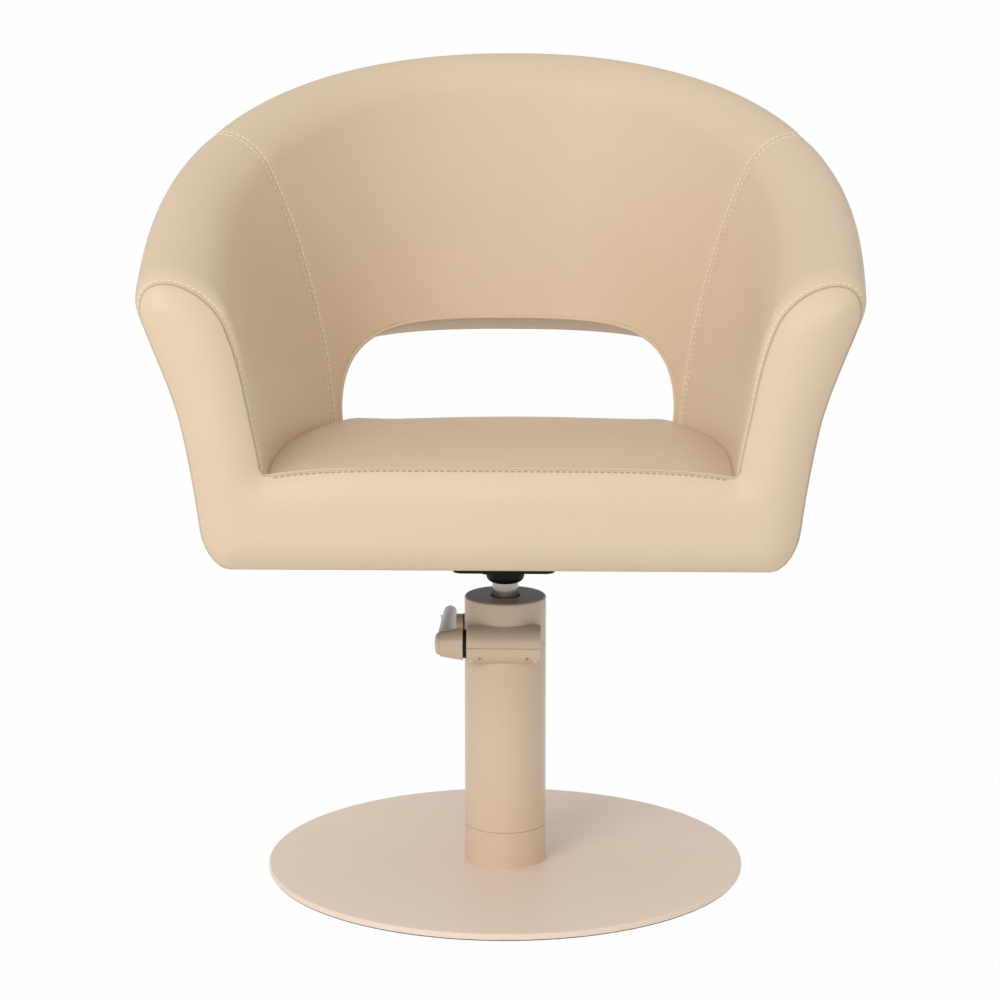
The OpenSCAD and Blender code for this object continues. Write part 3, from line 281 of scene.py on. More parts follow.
@dataclass(frozen=True)
class Tub:
    """Middle surface and padded thickness of the tub's wall.

    A point of the wall has an angle, 0 at the arm's front and 90 in the middle of the back, and a
    height, 0 at the underside and 1 at the rim. In plan each height is a superellipse that leans
    outwards as it rises; the rim is a cubic that climbs from the arms to the back. Angles are in
    degrees, and the opening's middle and reaches are shares of the wall's height.
    """

    half_width: float = 252
    lean: float = 34
    flare: float = 36
    bulge: float = 28
    front: float = 245
    back: float = 205
    back_lean: float = 78
    arm_height: float = 288
    back_height: float = 486
    low_corner: float = 2.8
    rim_corner: float = 2.4
    rim_at_arm: float = 0.26
    rim_at_back: float = 0.65
    under_middle: float = 360
    slope: float = 0.0733
    arm_pad: float = 73
    arm_rim_pad: float = 88
    back_pad: float = 56
    pad_swells_from: float = 0.5
    pad_swells_over: float = 0.32
    rim_round: float = 41
    front_draw: float = 3
    seam_draw: float = 2.5
    seam_draw_angle: float = 3
    draw_length: float = 14
    tip_dip: float = 8
    tip_length: float = 22
    low_roll_height: float = 40
    low_lip: float = 9
    board_rise: float = 18.2
    seam_low: float = 44
    seam_rim: float = 35
    seam_bend: float = 0.4
    seam_curve: float = 1.25
    seam_gap: float = 0.004
    arm_power: float = 1.3
    jamb: float = 46.2
    open_middle: float = 0.24
    open_inside: float = 0.188
    open_outside: float = 0.152
    open_corner: float = 4.8
    rear_height: float = 92
    rear_round: float = 22
    seat_height: float = 98
    corner_in: float = 8
    front_arch: float = 2.5
    front_dip: float = 7.5
    front_power: float = 5

    def plane(self, y: Array | float) -> Array:
        """Height of the sloping underside at y."""
        return self.under_middle - self.slope * y

    def rim(self, share: Array) -> Array:
        """Height of the rim at a share of the wall's depth, a cubic between arm and back."""
        low = self.plane(-self.front) + self.arm_height
        high = self.plane(self.back) + self.back_height
        rest = 1 - share
        rise = 3 * share * rest**2 * self.rim_at_arm + 3 * share**2 * rest * self.rim_at_back
        tip = np.maximum(0, 1 - share * (self.front + self.back) / self.tip_length)
        return low + (high - low) * (rise + share**3) - self.tip_dip * tip**2

    def corner(self, height: Array) -> Array:
        """Squareness of the plan at a height."""
        return self.low_corner + (self.rim_corner - self.low_corner) * height

    def depth(self, height: Array) -> Array:
        """Depth of the wall from arm front to back at a height."""
        return self.back + self.front + self.back_lean * height

    def depth_share(self, angle: Array, height: Array) -> Array:
        """Share of the depth at an angle and height: sine of the angle, to 2 over squareness."""
        return np.maximum(np.sin(np.radians(fold(angle))), 0) ** (2 / self.corner(height))

    def point(self, angle: Array, height: Array, off: Array | float) -> Array:
        """Points of the wall, off outwards from its middle surface.

        The plan is x = w cos^(2/n), y = d sin^(2/n), moved along its normal by off.

        Args:
            angle: degrees round the wall.
            height: share of the wall's height.
            off: distance outwards in millimetres.

        Returns:
            Points with a last axis of 3.
        """
        angle, height, off = np.broadcast_arrays(
            np.asarray(angle, float), np.asarray(height, float), np.asarray(off, float)
        )
        folded = np.radians(fold(angle))
        n = self.corner(height)
        width = self.half_width + self.lean * height + self.flare * height**3
        width = width + self.bulge * height * np.sin(2 * folded)
        v = np.maximum(np.sin(folded), 0) ** (2 / n)
        u = np.maximum(np.cos(folded), 0) ** (2 / n)
        gx = u ** (n - 1) / width
        gy = v ** (n - 1) / self.depth(height)
        size = np.hypot(gx, gy)
        x = width * u + off * gx / size
        y = v * self.depth(height) - self.front + off * gy / size
        low = self.plane(y)
        z = low + (self.rim(v) - low) * height
        return np.stack([np.where(angle > 90, -x, x), y, z], axis=-1)

    def wall_height(self, angle: Array) -> Array:
        """Height of the wall in millimetres at an angle."""
        v = self.depth_share(angle, 1.0)
        return self.rim(v) - self.plane(v * self.depth(0) - self.front)

    def share_at(self, angle: Array, rise: Array | float) -> Array:
        """Height share that lies rise millimetres above the underside."""
        h = rise / self.wall_height(angle)
        y = self.point(angle, h, 0)[..., 1]
        return rise / (self.rim(self.depth_share(angle, h)) - self.plane(y))

    def seam_angle(self, height: Array) -> Array:
        """Angle of the seam between arm and back at a height."""
        bend = np.clip((height - self.seam_bend) / (1 - self.seam_bend), 0, 1)
        return self.seam_low + (self.seam_rim - self.seam_low) * bend**self.seam_curve

    def arm_angle(self, share: Array, height: Array) -> Array:
        """Angle at a share of the arm, 0 at its front and 1 at the seam."""
        top = np.sin(np.radians(self.seam_angle(height) - self.seam_gap))
        return np.degrees(np.arcsin(top * share**self.arm_power))

    def back_angle(self, share: Array, height: Array) -> Array:
        """Angle at a share of the back, 1 at the right seam and -1 at the left one."""
        return 90 - (90 - self.seam_angle(height) - self.seam_gap) * share

    def half(self, angle: Array, height: Array) -> Array:
        """Half of the padded thickness, drawn in at the front and at the arm seam."""
        v = self.depth_share(angle, height)
        pad = self.arm_pad + (self.back_pad - self.arm_pad) * v
        up = smooth((height - self.pad_swells_from) / self.pad_swells_over)
        pad = pad + (self.arm_rim_pad - self.arm_pad) * up * (1 - v)
        front = np.maximum(0, 1 - v * self.depth(height) / self.draw_length)
        from_seam = np.abs(fold(angle) - self.seam_angle(height))
        seam = np.maximum(0, 1 - from_seam / self.seam_draw_angle)
        return pad / 2 - self.front_draw * (1 + up) * front**2 - self.seam_draw * seam**2

    def seat_wave(self, share: Array) -> Array:
        """Rise of the seat's front edge by share of the way to the arm: an arch less a power."""
        return self.front_arch - self.front_dip * share**self.front_power

    def low_roll(self, angle: Array, height: Array) -> Array:
        """How far the outer face is rolled in near the underside: a quarter ellipse."""
        t = np.clip(1 - height * self.wall_height(angle) / self.low_roll_height, 0, 1)
        return (self.half(angle, height) - self.low_lip) * (1 - np.sqrt(1 - t**2))

    def inner_edge(self, angle: Array, rise: Array | float, gap: float) -> Array:
        """Points beside the wall's inner face, rise above the underside."""
        h = self.share_at(angle, rise)
        p = self.point(angle, h, -gap - self.half(angle, h))
        return np.stack([p[..., 0], p[..., 1], self.plane(p[..., 1]) + rise], axis=-1)


TUB = Tub()


@dataclass(frozen=True)
class SeamStyle:
    """Relief beside a sewn seam, and the painted shade in its valley."""

    ridge: float = 1.3
    ridge_at: float = 1.5
    ridge_width: float = 1.2
    valley: float = 0.0
    valley_width: float = 1.0
    row_at: float = 5.0
    row_width: float = 1.0
    row_depth: float = 0.5
    pucker: float = 0.12
    pucker_pitch: float = 9.0
    pucker_reach: float = 9.0
    drift: float = 1.7
    drift_length: float = 31.0
    fade: float = 0.4
    fade_length: float = 53.0
    # Strength and width of the painted shade in the seam's valley.
    shade: float = 0.7
    shade_width: float = 0.7

    def relief(self, distance: Array) -> Array:
        """Height beside the seam: a bell where the edge is folded, less bells at seam and row."""
        height = self.ridge * bell(distance, self.ridge_at, self.ridge_width)
        height = height - self.valley * bell(distance, 0, self.valley_width)
        return height - self.row_depth * bell(distance, self.row_at, self.row_width)

    def puckers(self, distance: Array, run: Array) -> Array:
        """Waves along the seam, of uneven length and height, that fade away from it."""
        bent = run * 2 * np.pi / self.pucker_pitch + self.drift * np.sin(run / self.drift_length)
        wave = np.sin(bent) * (1 - self.fade + self.fade * np.sin(run / self.fade_length + 1))
        return self.pucker * wave * np.exp(-distance / self.pucker_reach)

    def painted_shade(self, distance: Array) -> Array:
        """Painted shade in the seam's valley, by the distance from it."""
        return self.shade * bell(distance, 0, self.shade_width)


FOLDED_SEAM = SeamStyle()
FLAT_SEAM = SeamStyle(
    ridge=0.3,
    ridge_at=1.6,
    valley=0.2,
    valley_width=0.6,
    row_at=3.5,
    row_depth=0.1,
    pucker=0.08,
    shade=0.3,
    shade_width=0.6,
)


def lift_seam(points: Array, distance: Array, seam: SeamStyle) -> Array:
    """Moves a grid along its normals by a seam's relief and puckers.

    Args:
        points: grid of points.
        distance: distance of each point from the seam.
        seam: sizes of the ridge, row and puckers.

    Returns:
        The moved grid.
    """
    steps = np.linalg.norm(np.diff(points, axis=1), axis=2)
    run = np.concatenate([np.zeros((len(points), 1)), np.cumsum(steps, axis=1)], axis=1)
    move = seam.relief(distance) + seam.puckers(distance, run)
    return points + grid_normals(points) * move[..., None]


@dataclass
class Stitching:
    """Rows of thread, each stitch a short capsule that lies in its row."""

    pitch: float = 6.2
    length: float = 4.7
    radius: float = 0.5
    sides: int = 5
    ring_shares: tuple[float, ...] = (-1, -0.72, 0.72, 1)
    width_shares: tuple[float, ...] = (0.3, 1, 1, 0.3)
    rise_shares: tuple[float, ...] = (-0.6, 0.35, 0.35, -0.6)
    name: str = "seam_thread"
    lines: list[tuple[Array, Array]] = field(default_factory=list)

    def add(self, line: Array, normal: Array) -> None:
        """Adds a row along a line of points, with a normal at each."""
        keep = np.isfinite(line).all(axis=1)
        self.lines.append((line[keep], normal[keep]))

    def build(self) -> bpy.types.Object:
        """Makes one mesh of all the stitches, each a capsule of rings that dips in at its ends.

        Returns:
            The thread's object.
        """
        spots, tangents, normals = [], [], []
        for line, normal in self.lines:
            run = run_along(line)
            at = np.arange(self.pitch / 2, run[-1], self.pitch)
            spots.append(read_along(line, run, at))
            tangents.append(read_along(line, run, at + 1) - read_along(line, run, at - 1))
            normals.append(read_along(normal, run, at))
        spot, tangent, normal = (np.concatenate(x) for x in (spots, tangents, normals))
        tangent = unit(tangent)
        normal = unit(normal - tangent * (normal * tangent).sum(axis=1, keepdims=True))
        across = np.cross(tangent, normal)
        ring_at = np.array(self.ring_shares) * self.length / 2
        width = np.array(self.width_shares)[:, None] * self.radius
        rise = np.array(self.rise_shares)[:, None] * self.radius
        turn = np.arange(self.sides) * 2 * np.pi / self.sides
        points = (
            spot[:, None, None]
            + tangent[:, None, None] * ring_at[None, :, None, None]
            + normal[:, None, None] * (rise + width * np.sin(turn))[None, :, :, None]
            + across[:, None, None] * (width * np.cos(turn))[None, :, :, None]
        )
        count, rings = len(spot), len(ring_at)
        one = grid_quads(rings, self.sides, ring=True)
        base = np.arange(count)[:, None, None] * rings * self.sides
        quads = (one[None] + base).reshape(-1, 4)
        first = np.arange(self.sides)[::-1]
        last = (rings - 1) * self.sides + np.arange(self.sides)
        starts = np.arange(count) * rings * self.sides
        fans = [np.asarray(f) for s in starts for f in (first + s, last + s)]
        return make_piece(self.name, points, quads, fans)


def row_on_grid(points: Array, distance: Array, at: float) -> tuple[Array, Array]:
    """Line that keeps one distance from a grid's end, with the surface normal beside it.

    Each column is read where its distance passes the wanted one, by linear interpolation.

    Args:
        points: grid of points.
        distance: distance of each point, growing or falling down the rows.
        at: the wanted distance.

    Returns:
        Points and normals, one a column.
    """
    normal = grid_normals(points)
    above = distance >= at
    cross = above[1:] != above[:-1]
    row = np.argmax(cross, axis=0)
    column = np.arange(points.shape[1])
    d0, d1 = distance[row, column], distance[row + 1, column]
    t = ((at - d0) / np.where(d1 == d0, 1, d1 - d0))[:, None]
    line = points[row, column] * (1 - t) + points[row + 1, column] * t
    return line, normal[row, column]


# Padded covers


def section_rows(
    low: Array, top: Array, rounding: Array, shares: Array, turns: Array
) -> tuple[Array, Array]:
    """Heights and thickness shares up one face of a wall and over its rounding.

    Args:
        low: height of the low edge at each station.
        top: height of the top at each station.
        rounding: height of the rounding at each station.
        shares: shares of the straight face.
        turns: angles of the rounding in degrees.

    Returns:
        Heights and shares of the full thickness, stations by rows.
    """
    start = top - rounding
    straight = low[:, None] + (start - low)[:, None] * shares[None, :]
    p = np.radians(turns)[None, :]
    curved = start[:, None] + rounding[:, None] * np.sin(p)
    heights = np.concatenate([straight, curved], axis=1)
    thinning = np.broadcast_to(np.cos(p), curved.shape)
    return heights, np.concatenate([np.ones_like(straight), thinning], axis=1)


@dataclass
class WallCover:
    """What the covers of the wall share: their section, row spacing and slow swell."""

    tub: Tub = TUB
    swell: float = 0.5
    swell_lengths: tuple[float, ...] = (37, 61, 43, 29, 83)
    swell_phase: float = 1.3
    calm_length: float = 40

    def breathe(self, points: Array) -> Array:
        """Slow swell of foam under leather, a mean of three long waves."""
        x, y, z = points[..., 0], points[..., 1], points[..., 2]
        a, b, c, d, e = self.swell_lengths
        across, along = np.sin(x / a + z / b), np.sin(y / c - z / d + self.swell_phase)
        return self.swell * (across + along + np.sin((x + y + z) / e)) / 3

    def face_rows(self, height: float) -> Array:
        """Shares up the straight part of a face of this height, close together at its seams."""
        return Spacing(total=height, first=10, last=2, step=3.2, fine=1.2).shares()

    def section(
        self, low: Array, top: Array, rounding: Array, shares: Array, turns: Array
    ) -> tuple[Array, Array]:
        """Heights and signed thickness shares up the outer face, over the top and down inside.

        Args:
            low: height of the inner face's low edge at each station.
            top: height of the top at each station.
            rounding: height of the rounding at each station.
            shares: shares of the straight faces.
            turns: angles of the rounding in degrees.

        Returns:
            Heights and shares of the full thickness, stations by rows.
        """
        out_heights, out_full = section_rows(0 * top, top, rounding, shares, turns)
        in_heights, in_full = section_rows(low, top, rounding, shares, turns)
        heights = np.concatenate([out_heights, top[:, None], in_heights[:, ::-1]], axis=1)
        return heights, np.concatenate([out_full, 0 * top[:, None], -in_full[:, ::-1]], axis=1)

    def skin(self, angle: Array, heights: Array, full: Array) -> Array:
        """Points of the leather at a share of the thickness, rolled in below the outer face."""
        roll = np.where(full > 0, self.tub.low_roll(angle, heights), 0)
        return self.tub.point(angle, heights, self.tub.half(angle, heights) * full - roll)


@dataclass
class ArmCover(WallCover):
    """Padded cover of one arm: a closed loop round the frame panel at each station."""

    side: Side = Side.RIGHT
    along: Spacing = Spacing(total=390, first=9, last=8, step=5.0, fine=0.85)
    face_height: float = 250
    rim_steps: int = 22
    slot_half: float = 6.3
    slot_rows: int = 12
    slot_top: float = 0.7

    def build(self, stitching: Stitching) -> bpy.types.Object:
        """Makes the cover and lays its stitch rows.

        Args:
            stitching: takes the rows beside the front seam and the back seam.

        Returns:
            The cover's object.
        """
        tub = self.tub
        stations = self.along.shares()
        top = np.ones_like(stations)
        rounding = tub.share_at(tub.arm_angle(stations, top), tub.rim_round)
        low_in = tub.share_at(tub.arm_angle(stations, 0 * top), tub.board_rise)
        rows = self.face_rows(self.face_height)
        heights, full = self.section(low_in, top, rounding, rows, between(self.rim_steps))
        skin = self.skin(tub.arm_angle(stations[:, None], heights), heights, full)
        near = lengths_along(skin, End.FIRST)
        far = lengths_along(skin, End.LAST)
        calm = smooth(near / self.calm_length) * smooth(far / self.calm_length)
        skin = skin + grid_normals(skin) * (self.breathe(skin) * calm)[..., None]
        skin = lift_seam(lift_seam(skin, near, FOLDED_SEAM), far, FLAT_SEAM)
        core_top = top - rounding * self.slot_top
        rise = np.linspace(0, 1, self.slot_rows)
        up = low_in[:, None] + (core_top - low_in)[:, None] * rise[None, :]
        slot_angle = tub.arm_angle(stations[:, None], up)
        inside = tub.point(slot_angle, up, -self.slot_half)
        outside = tub.point(slot_angle, up, self.slot_half)[:, ::-1]
        points = np.concatenate([skin, inside, outside], axis=1)
        # Painted shade in the valleys of the front and back seams.
        shade = np.maximum(FOLDED_SEAM.painted_shade(near), FLAT_SEAM.painted_shade(far))
        shade = np.concatenate([shade, np.zeros((len(points), 2 * self.slot_rows))], axis=1)
        mirror = np.array([self.side.value, 1, 1])
        for distance, at in ((near, FOLDED_SEAM.row_at), (far, FLAT_SEAM.row_at)):
            line, normal = row_on_grid(skin, distance, at)
            stitching.add(line * mirror, normal * mirror)
        name = f"{self.side.name.lower()}_arm_upholstery"
        return loops_piece(name, points * mirror, {"seam_shade": shade})


@dataclass
class BackCover(WallCover):
    """Padded cover of the backrest, with legs beside the opening.

    It is a closed solid: one grid up the outside, over the rim and down the inside. The cells in
    the opening are left out, and the grid's corners beside it slide onto the opening's edge,
    (x over its half width)^4.8 + (z over its half height)^2 = 1, with straight jambs below.
    """

    across: Spacing = Spacing(total=700, first=8, last=8, step=3.4, fine=0.85)
    row_count: int = 120
    rim_steps: int = 18
    lift_share: float = 0.2
    edge_steps: int = 12

    def build(self, stitching: Stitching) -> bpy.types.Object:
        """Makes the cover and lays the stitch rows beside its two seams.

        Args:
            stitching: takes the rows.

        Returns:
            The cover's object.
        """
        tub = self.tub
        stations = 2 * self.across.shares() - 1
        scale = (90 - tub.seam_low - tub.seam_gap) / (90 - tub.jamb)
        top = np.ones_like(stations)
        rounding = tub.share_at(tub.back_angle(stations, top), tub.rim_round)
        shares = np.linspace(0, 1, self.row_count)
        inner_h, full = section_rows(0 * top, top, rounding, shares, between(self.rim_steps))
        x = np.broadcast_to(stations[:, None] * scale, inner_h.shape)
        z = (inner_h - tub.open_middle) / tub.open_inside
        x, z, state = self.slide(x, z)
        share = x / scale
        inner_h = tub.open_middle + z * tub.open_inside
        outer_h = self.outer_height(inner_h, (1 - rounding)[:, None])
        inner_a = tub.back_angle(share, inner_h)
        outer_a = tub.back_angle(share, outer_h)
        low = np.clip(1 - inner_h / self.lift_share, 0, 1)
        lift = tub.share_at(inner_a, tub.board_rise) * low
        inner = tub.point(inner_a, inner_h + lift, -full * tub.half(inner_a, inner_h))
        outer_off = full * tub.half(outer_a, outer_h) - tub.low_roll(outer_a, outer_h)
        outer = tub.point(outer_a, outer_h, outer_off)
        ridge = tub.point(tub.back_angle(stations, top), top, 0)[:, None]
        skin = np.concatenate([outer, ridge, inner[:, ::-1]], axis=1)
        first, last = lengths_along(skin, End.FIRST), lengths_along(skin, End.LAST)
        near = np.minimum(first, last)
        swell = self.breathe(skin) * smooth(near / self.calm_length)
        skin = skin - grid_normals(skin) * swell[..., None]
        skin = lift_seam(skin[::-1], near[::-1], FLAT_SEAM)[::-1]
        for distance in (first, last):
            line, normal = row_on_grid(skin[::-1], distance[::-1], FLAT_SEAM.row_at)
            stitching.add(line, normal)
        state = np.concatenate([state, np.zeros((len(skin), 1), int), state[:, ::-1]], axis=1)
        quads = grid_quads(*skin.shape[:2])
        states = state.ravel()[quads]
        quads = quads[(states.max(axis=1) < 2) & (states.min(axis=1) < 1)]
        quads = np.concatenate([quads, close_edges(quads, skin.shape[1])])
        used, place = np.unique(quads, return_inverse=True)
        quads = place.reshape(-1, 4)
        points = skin.reshape(-1, 3)[used]
        # Painted shade in the valleys beside both seams.
        shades = {"seam_shade": FLAT_SEAM.painted_shade(near).ravel()[used]}
        return make_piece("back_upholstery", points, quads, (), shades)

    def slide(self, x: Array, z: Array) -> tuple[Array, Array, Array]:
        """Moves the grid's corners beside the opening onto its edge.

        Args:
            x: place across, in half widths of the opening.
            z: place up, in half heights above its middle.

        Returns:
            Both places after the move, and 0 for a free corner, 1 for one that slid and 2 for
            one that lies in the opening.
        """
        power = self.tub.open_corner
        high = np.maximum(z, 0)
        inside = np.abs(x) ** power + high**2 < 1
        padded = np.pad(~inside, 1, mode="edge")
        rows, columns = x.shape
        touching = np.zeros_like(inside)
        for i in range(3):
            for j in range(3):
                touching |= padded[i : i + rows, j : j + columns]
        edge = inside & touching
        t = np.ones_like(x)
        for _ in range(self.edge_steps):
            value = np.abs(t * x) ** power + (t * high) ** 2 - 1
            slope = power * np.abs(t * x) ** power / t + 2 * t * high**2
            t = np.clip(t - np.where(edge, value / np.maximum(slope, 1e-6), 0), 0.5, 3)
        x = np.where(edge, np.where(z > 0, x * t, np.sign(x)), x)
        z = np.where(edge & (z > 0), z * t, z)
        return x, z, np.where(edge, 1, np.where(inside, 2, 0))

    def outer_height(self, height: Array, top: Array) -> Array:
        """Height on the outer face for one on the inner face: the opening is lower outside."""
        tub = self.tub
        low = tub.open_middle
        lip_in, lip_out = low + tub.open_inside, low + tub.open_outside
        scaled = low + (height - low) * tub.open_outside / tub.open_inside
        share = np.clip((height - lip_in) / (top - lip_in), 0, 1)
        above = lip_out + (top - lip_out) * share
        moved = np.where(height < lip_in, scaled, above)
        return np.where((height < low) | (height > top), height, moved)


def close_edges(quads: Array, columns: int) -> Array:
    """Quads that join each open edge to its mirror image across the middle column.

    Args:
        quads: corner indices of a grid's kept quads.
        columns: points in a row of the grid.

    Returns:
        Corner indices of the joining quads.
    """
    edges = np.concatenate([quads[:, [k, (k + 1) % 4]] for k in range(4)])
    key = np.sort(edges, axis=1) @ np.array([1, 10**7])
    _, index, count = np.unique(key, return_index=True, return_counts=True)
    open_edges = edges[index[count == 1]]
    row, column = open_edges // columns, open_edges % columns
    mirror = row * columns + (columns - 1 - column)
    first = column.max(axis=1) < columns // 2
    a, b = open_edges[first, 0], open_edges[first, 1]
    return np.stack([b, a, mirror[first, 0], mirror[first, 1]], axis=1)


@dataclass
class OpeningTrim:
    """Leather strip that lines the opening, with a folded seam along both of its edges."""

    tub: Tub = TUB
    stations: int = 330
    arch_samples: int = 4000
    jamb_samples: int = 400
    foot_gap: float = 0.6
    ridge: float = 1.9
    ridge_out: float = 0.5
    ridge_in: float = 0.7
    ridge_turn: tuple[float, float] = (-100, 75)
    ridge_points: int = 11
    valley: tuple[tuple[float, float], ...] = ((1.6, 2.0), (3.2, 2.2))
    strip: float = 2.3
    strip_in: float = 5.0
    strip_points: int = 15
    crown: float = 1.0
    back: float = -1.0
    row_at: float = 6.0
    row_rise: float = 0.15
    # Strength of the painted shade on the strip's face, and the depth margin below the strip where
    # it starts.
    shade: float = 0.3
    shade_depth: float = 0.2

    def line(self, face: int, turn: Array, down: Array) -> Array:
        """Edge of the opening on one face, by the superellipse and straight jambs.

        Args:
            face: -1 for the inner face, 1 for the outer one.
            turn: angle round the upper half in degrees, 0 at a jamb and 90 at the top.
            down: share of the way down the jamb.

        Returns:
            Points of the right half.
        """
        tub = self.tub
        reach = tub.open_inside if face < 0 else tub.open_outside
        p = np.radians(turn)
        angle = 90 - (90 - tub.jamb) * np.maximum(np.cos(p), 0) ** (2 / tub.open_corner)
        low = tub.share_at(tub.jamb, tub.rear_height + self.foot_gap)
        height = tub.open_middle + reach * np.sin(p) - (tub.open_middle - low) * down
        return tub.point(angle, height, face * tub.half(angle, height))

    def build(self, stitching: Stitching) -> bpy.types.Object:
        """Makes the strip and lays its stitch row.

        Args:
            stitching: takes the row.

        Returns:
            The strip's object.
        """
        inner, outer = self.edges()
        across = unit(outer - inner)
        inward = unit(np.cross(np.gradient((inner + outer) / 2, axis=0), across))
        top = len(inner) // 2
        centre = np.array([0, inner[top, 1], inner[0, 2]])
        inward = inward * np.sign((inward[top] * (centre - inner[top])).sum())
        share, extra, depth = self.profile().T
        points = (
            inner[:, None] * (1 - share)[None, :, None]
            + outer[:, None] * share[None, :, None]
            + across[:, None] * extra[None, :, None]
            + inward[:, None] * depth[None, :, None]
        )
        row = inner + across * self.row_at + inward * (self.strip + self.row_rise)
        stitching.add(row, inward)
        # Painted shade across the strip's face between its folded edges.
        shade = np.where(depth > self.strip - self.shade_depth, self.shade, 0)
        shades = {"seam_shade": np.broadcast_to(shade, points.shape[:2])}
        return loops_piece("opening_strip", points, shades)

    def edges(self) -> tuple[Array, Array]:
        """Inner and outer edge of the opening, up the right jamb and down the left one.

        Returns:
            Two lines of the same number of points.
        """
        turn = np.concatenate([np.zeros(self.jamb_samples), np.linspace(0, 90, self.arch_samples)])
        down = np.concatenate([np.linspace(1, 0, self.jamb_samples), np.zeros(self.arch_samples)])
        halves = [self.line(face, turn, down) for face in (-1, 1)]
        run = run_along(sum(halves) / 2)
        at = np.linspace(0, run[-1], self.stations // 2)
        right = [read_along(half, run, at) for half in halves]
        mirror = np.array([-1, 1, 1])
        return tuple(np.concatenate([half, half[::-1][1:] * mirror]) for half in right)

    def profile(self) -> Array:
        """Closed section of the strip as rows of share of the width, extra across, and depth.

        The two folded seams are arcs, and the strip between them bows by a parabola.

        Returns:
            One row a point.
        """
        turn = np.radians(np.linspace(*self.ridge_turn, self.ridge_points))
        ridge_x = -self.ridge_out - self.ridge * np.cos(turn)
        ridge_z = self.ridge_in + self.ridge * np.sin(turn)
        first = np.stack([0 * turn, ridge_x, ridge_z], axis=1)
        near = np.concatenate([first, [(0, *spot) for spot in self.valley]])
        far = near[::-1] * np.array([0, -1, 1]) + np.array([1, 0, 0])
        share = np.linspace(0, 1, self.strip_points)
        bow = self.strip + self.crown * (1 - (2 * share - 1) ** 2)
        middle = np.stack([share, self.strip_in * (1 - 2 * share), bow], axis=1)
        under = np.stack([share[::-1], 0 * share, 0 * share + self.back], axis=1)[1:-1]
        return np.concatenate([near, middle, far, under])


@dataclass
class RearCover(WallCover):
    """Padded cover of the low wall behind the seat, under the opening."""

    edge_gap: float = 0.25
    across: Spacing = Spacing(total=560, first=4, last=4, step=4, fine=1.2)
    face_height: float = 70
    top_steps: int = 12

    def build(self) -> bpy.types.Object:
        """Makes the cover as closed loops round the wall.

        Returns:
            The cover's object.
        """
        tub = self.tub
        lowest = tub.jamb + self.edge_gap
        angle = lowest + (180 - 2 * lowest) * self.across.shares()
        top = tub.share_at(angle, tub.rear_height)
        rounding = tub.share_at(angle, tub.rear_round)
        low_in = tub.share_at(angle, tub.board_rise)
        rows = self.face_rows(self.face_height)
        heights, full = self.section(low_in, top, rounding, rows, between(self.top_steps))
        skin = self.skin(np.broadcast_to(angle[:, None], heights.shape), heights, full)
        shade = np.zeros(skin.shape[:2])
        return loops_piece("rear_wall_upholstery", skin, {"seam_shade": shade})


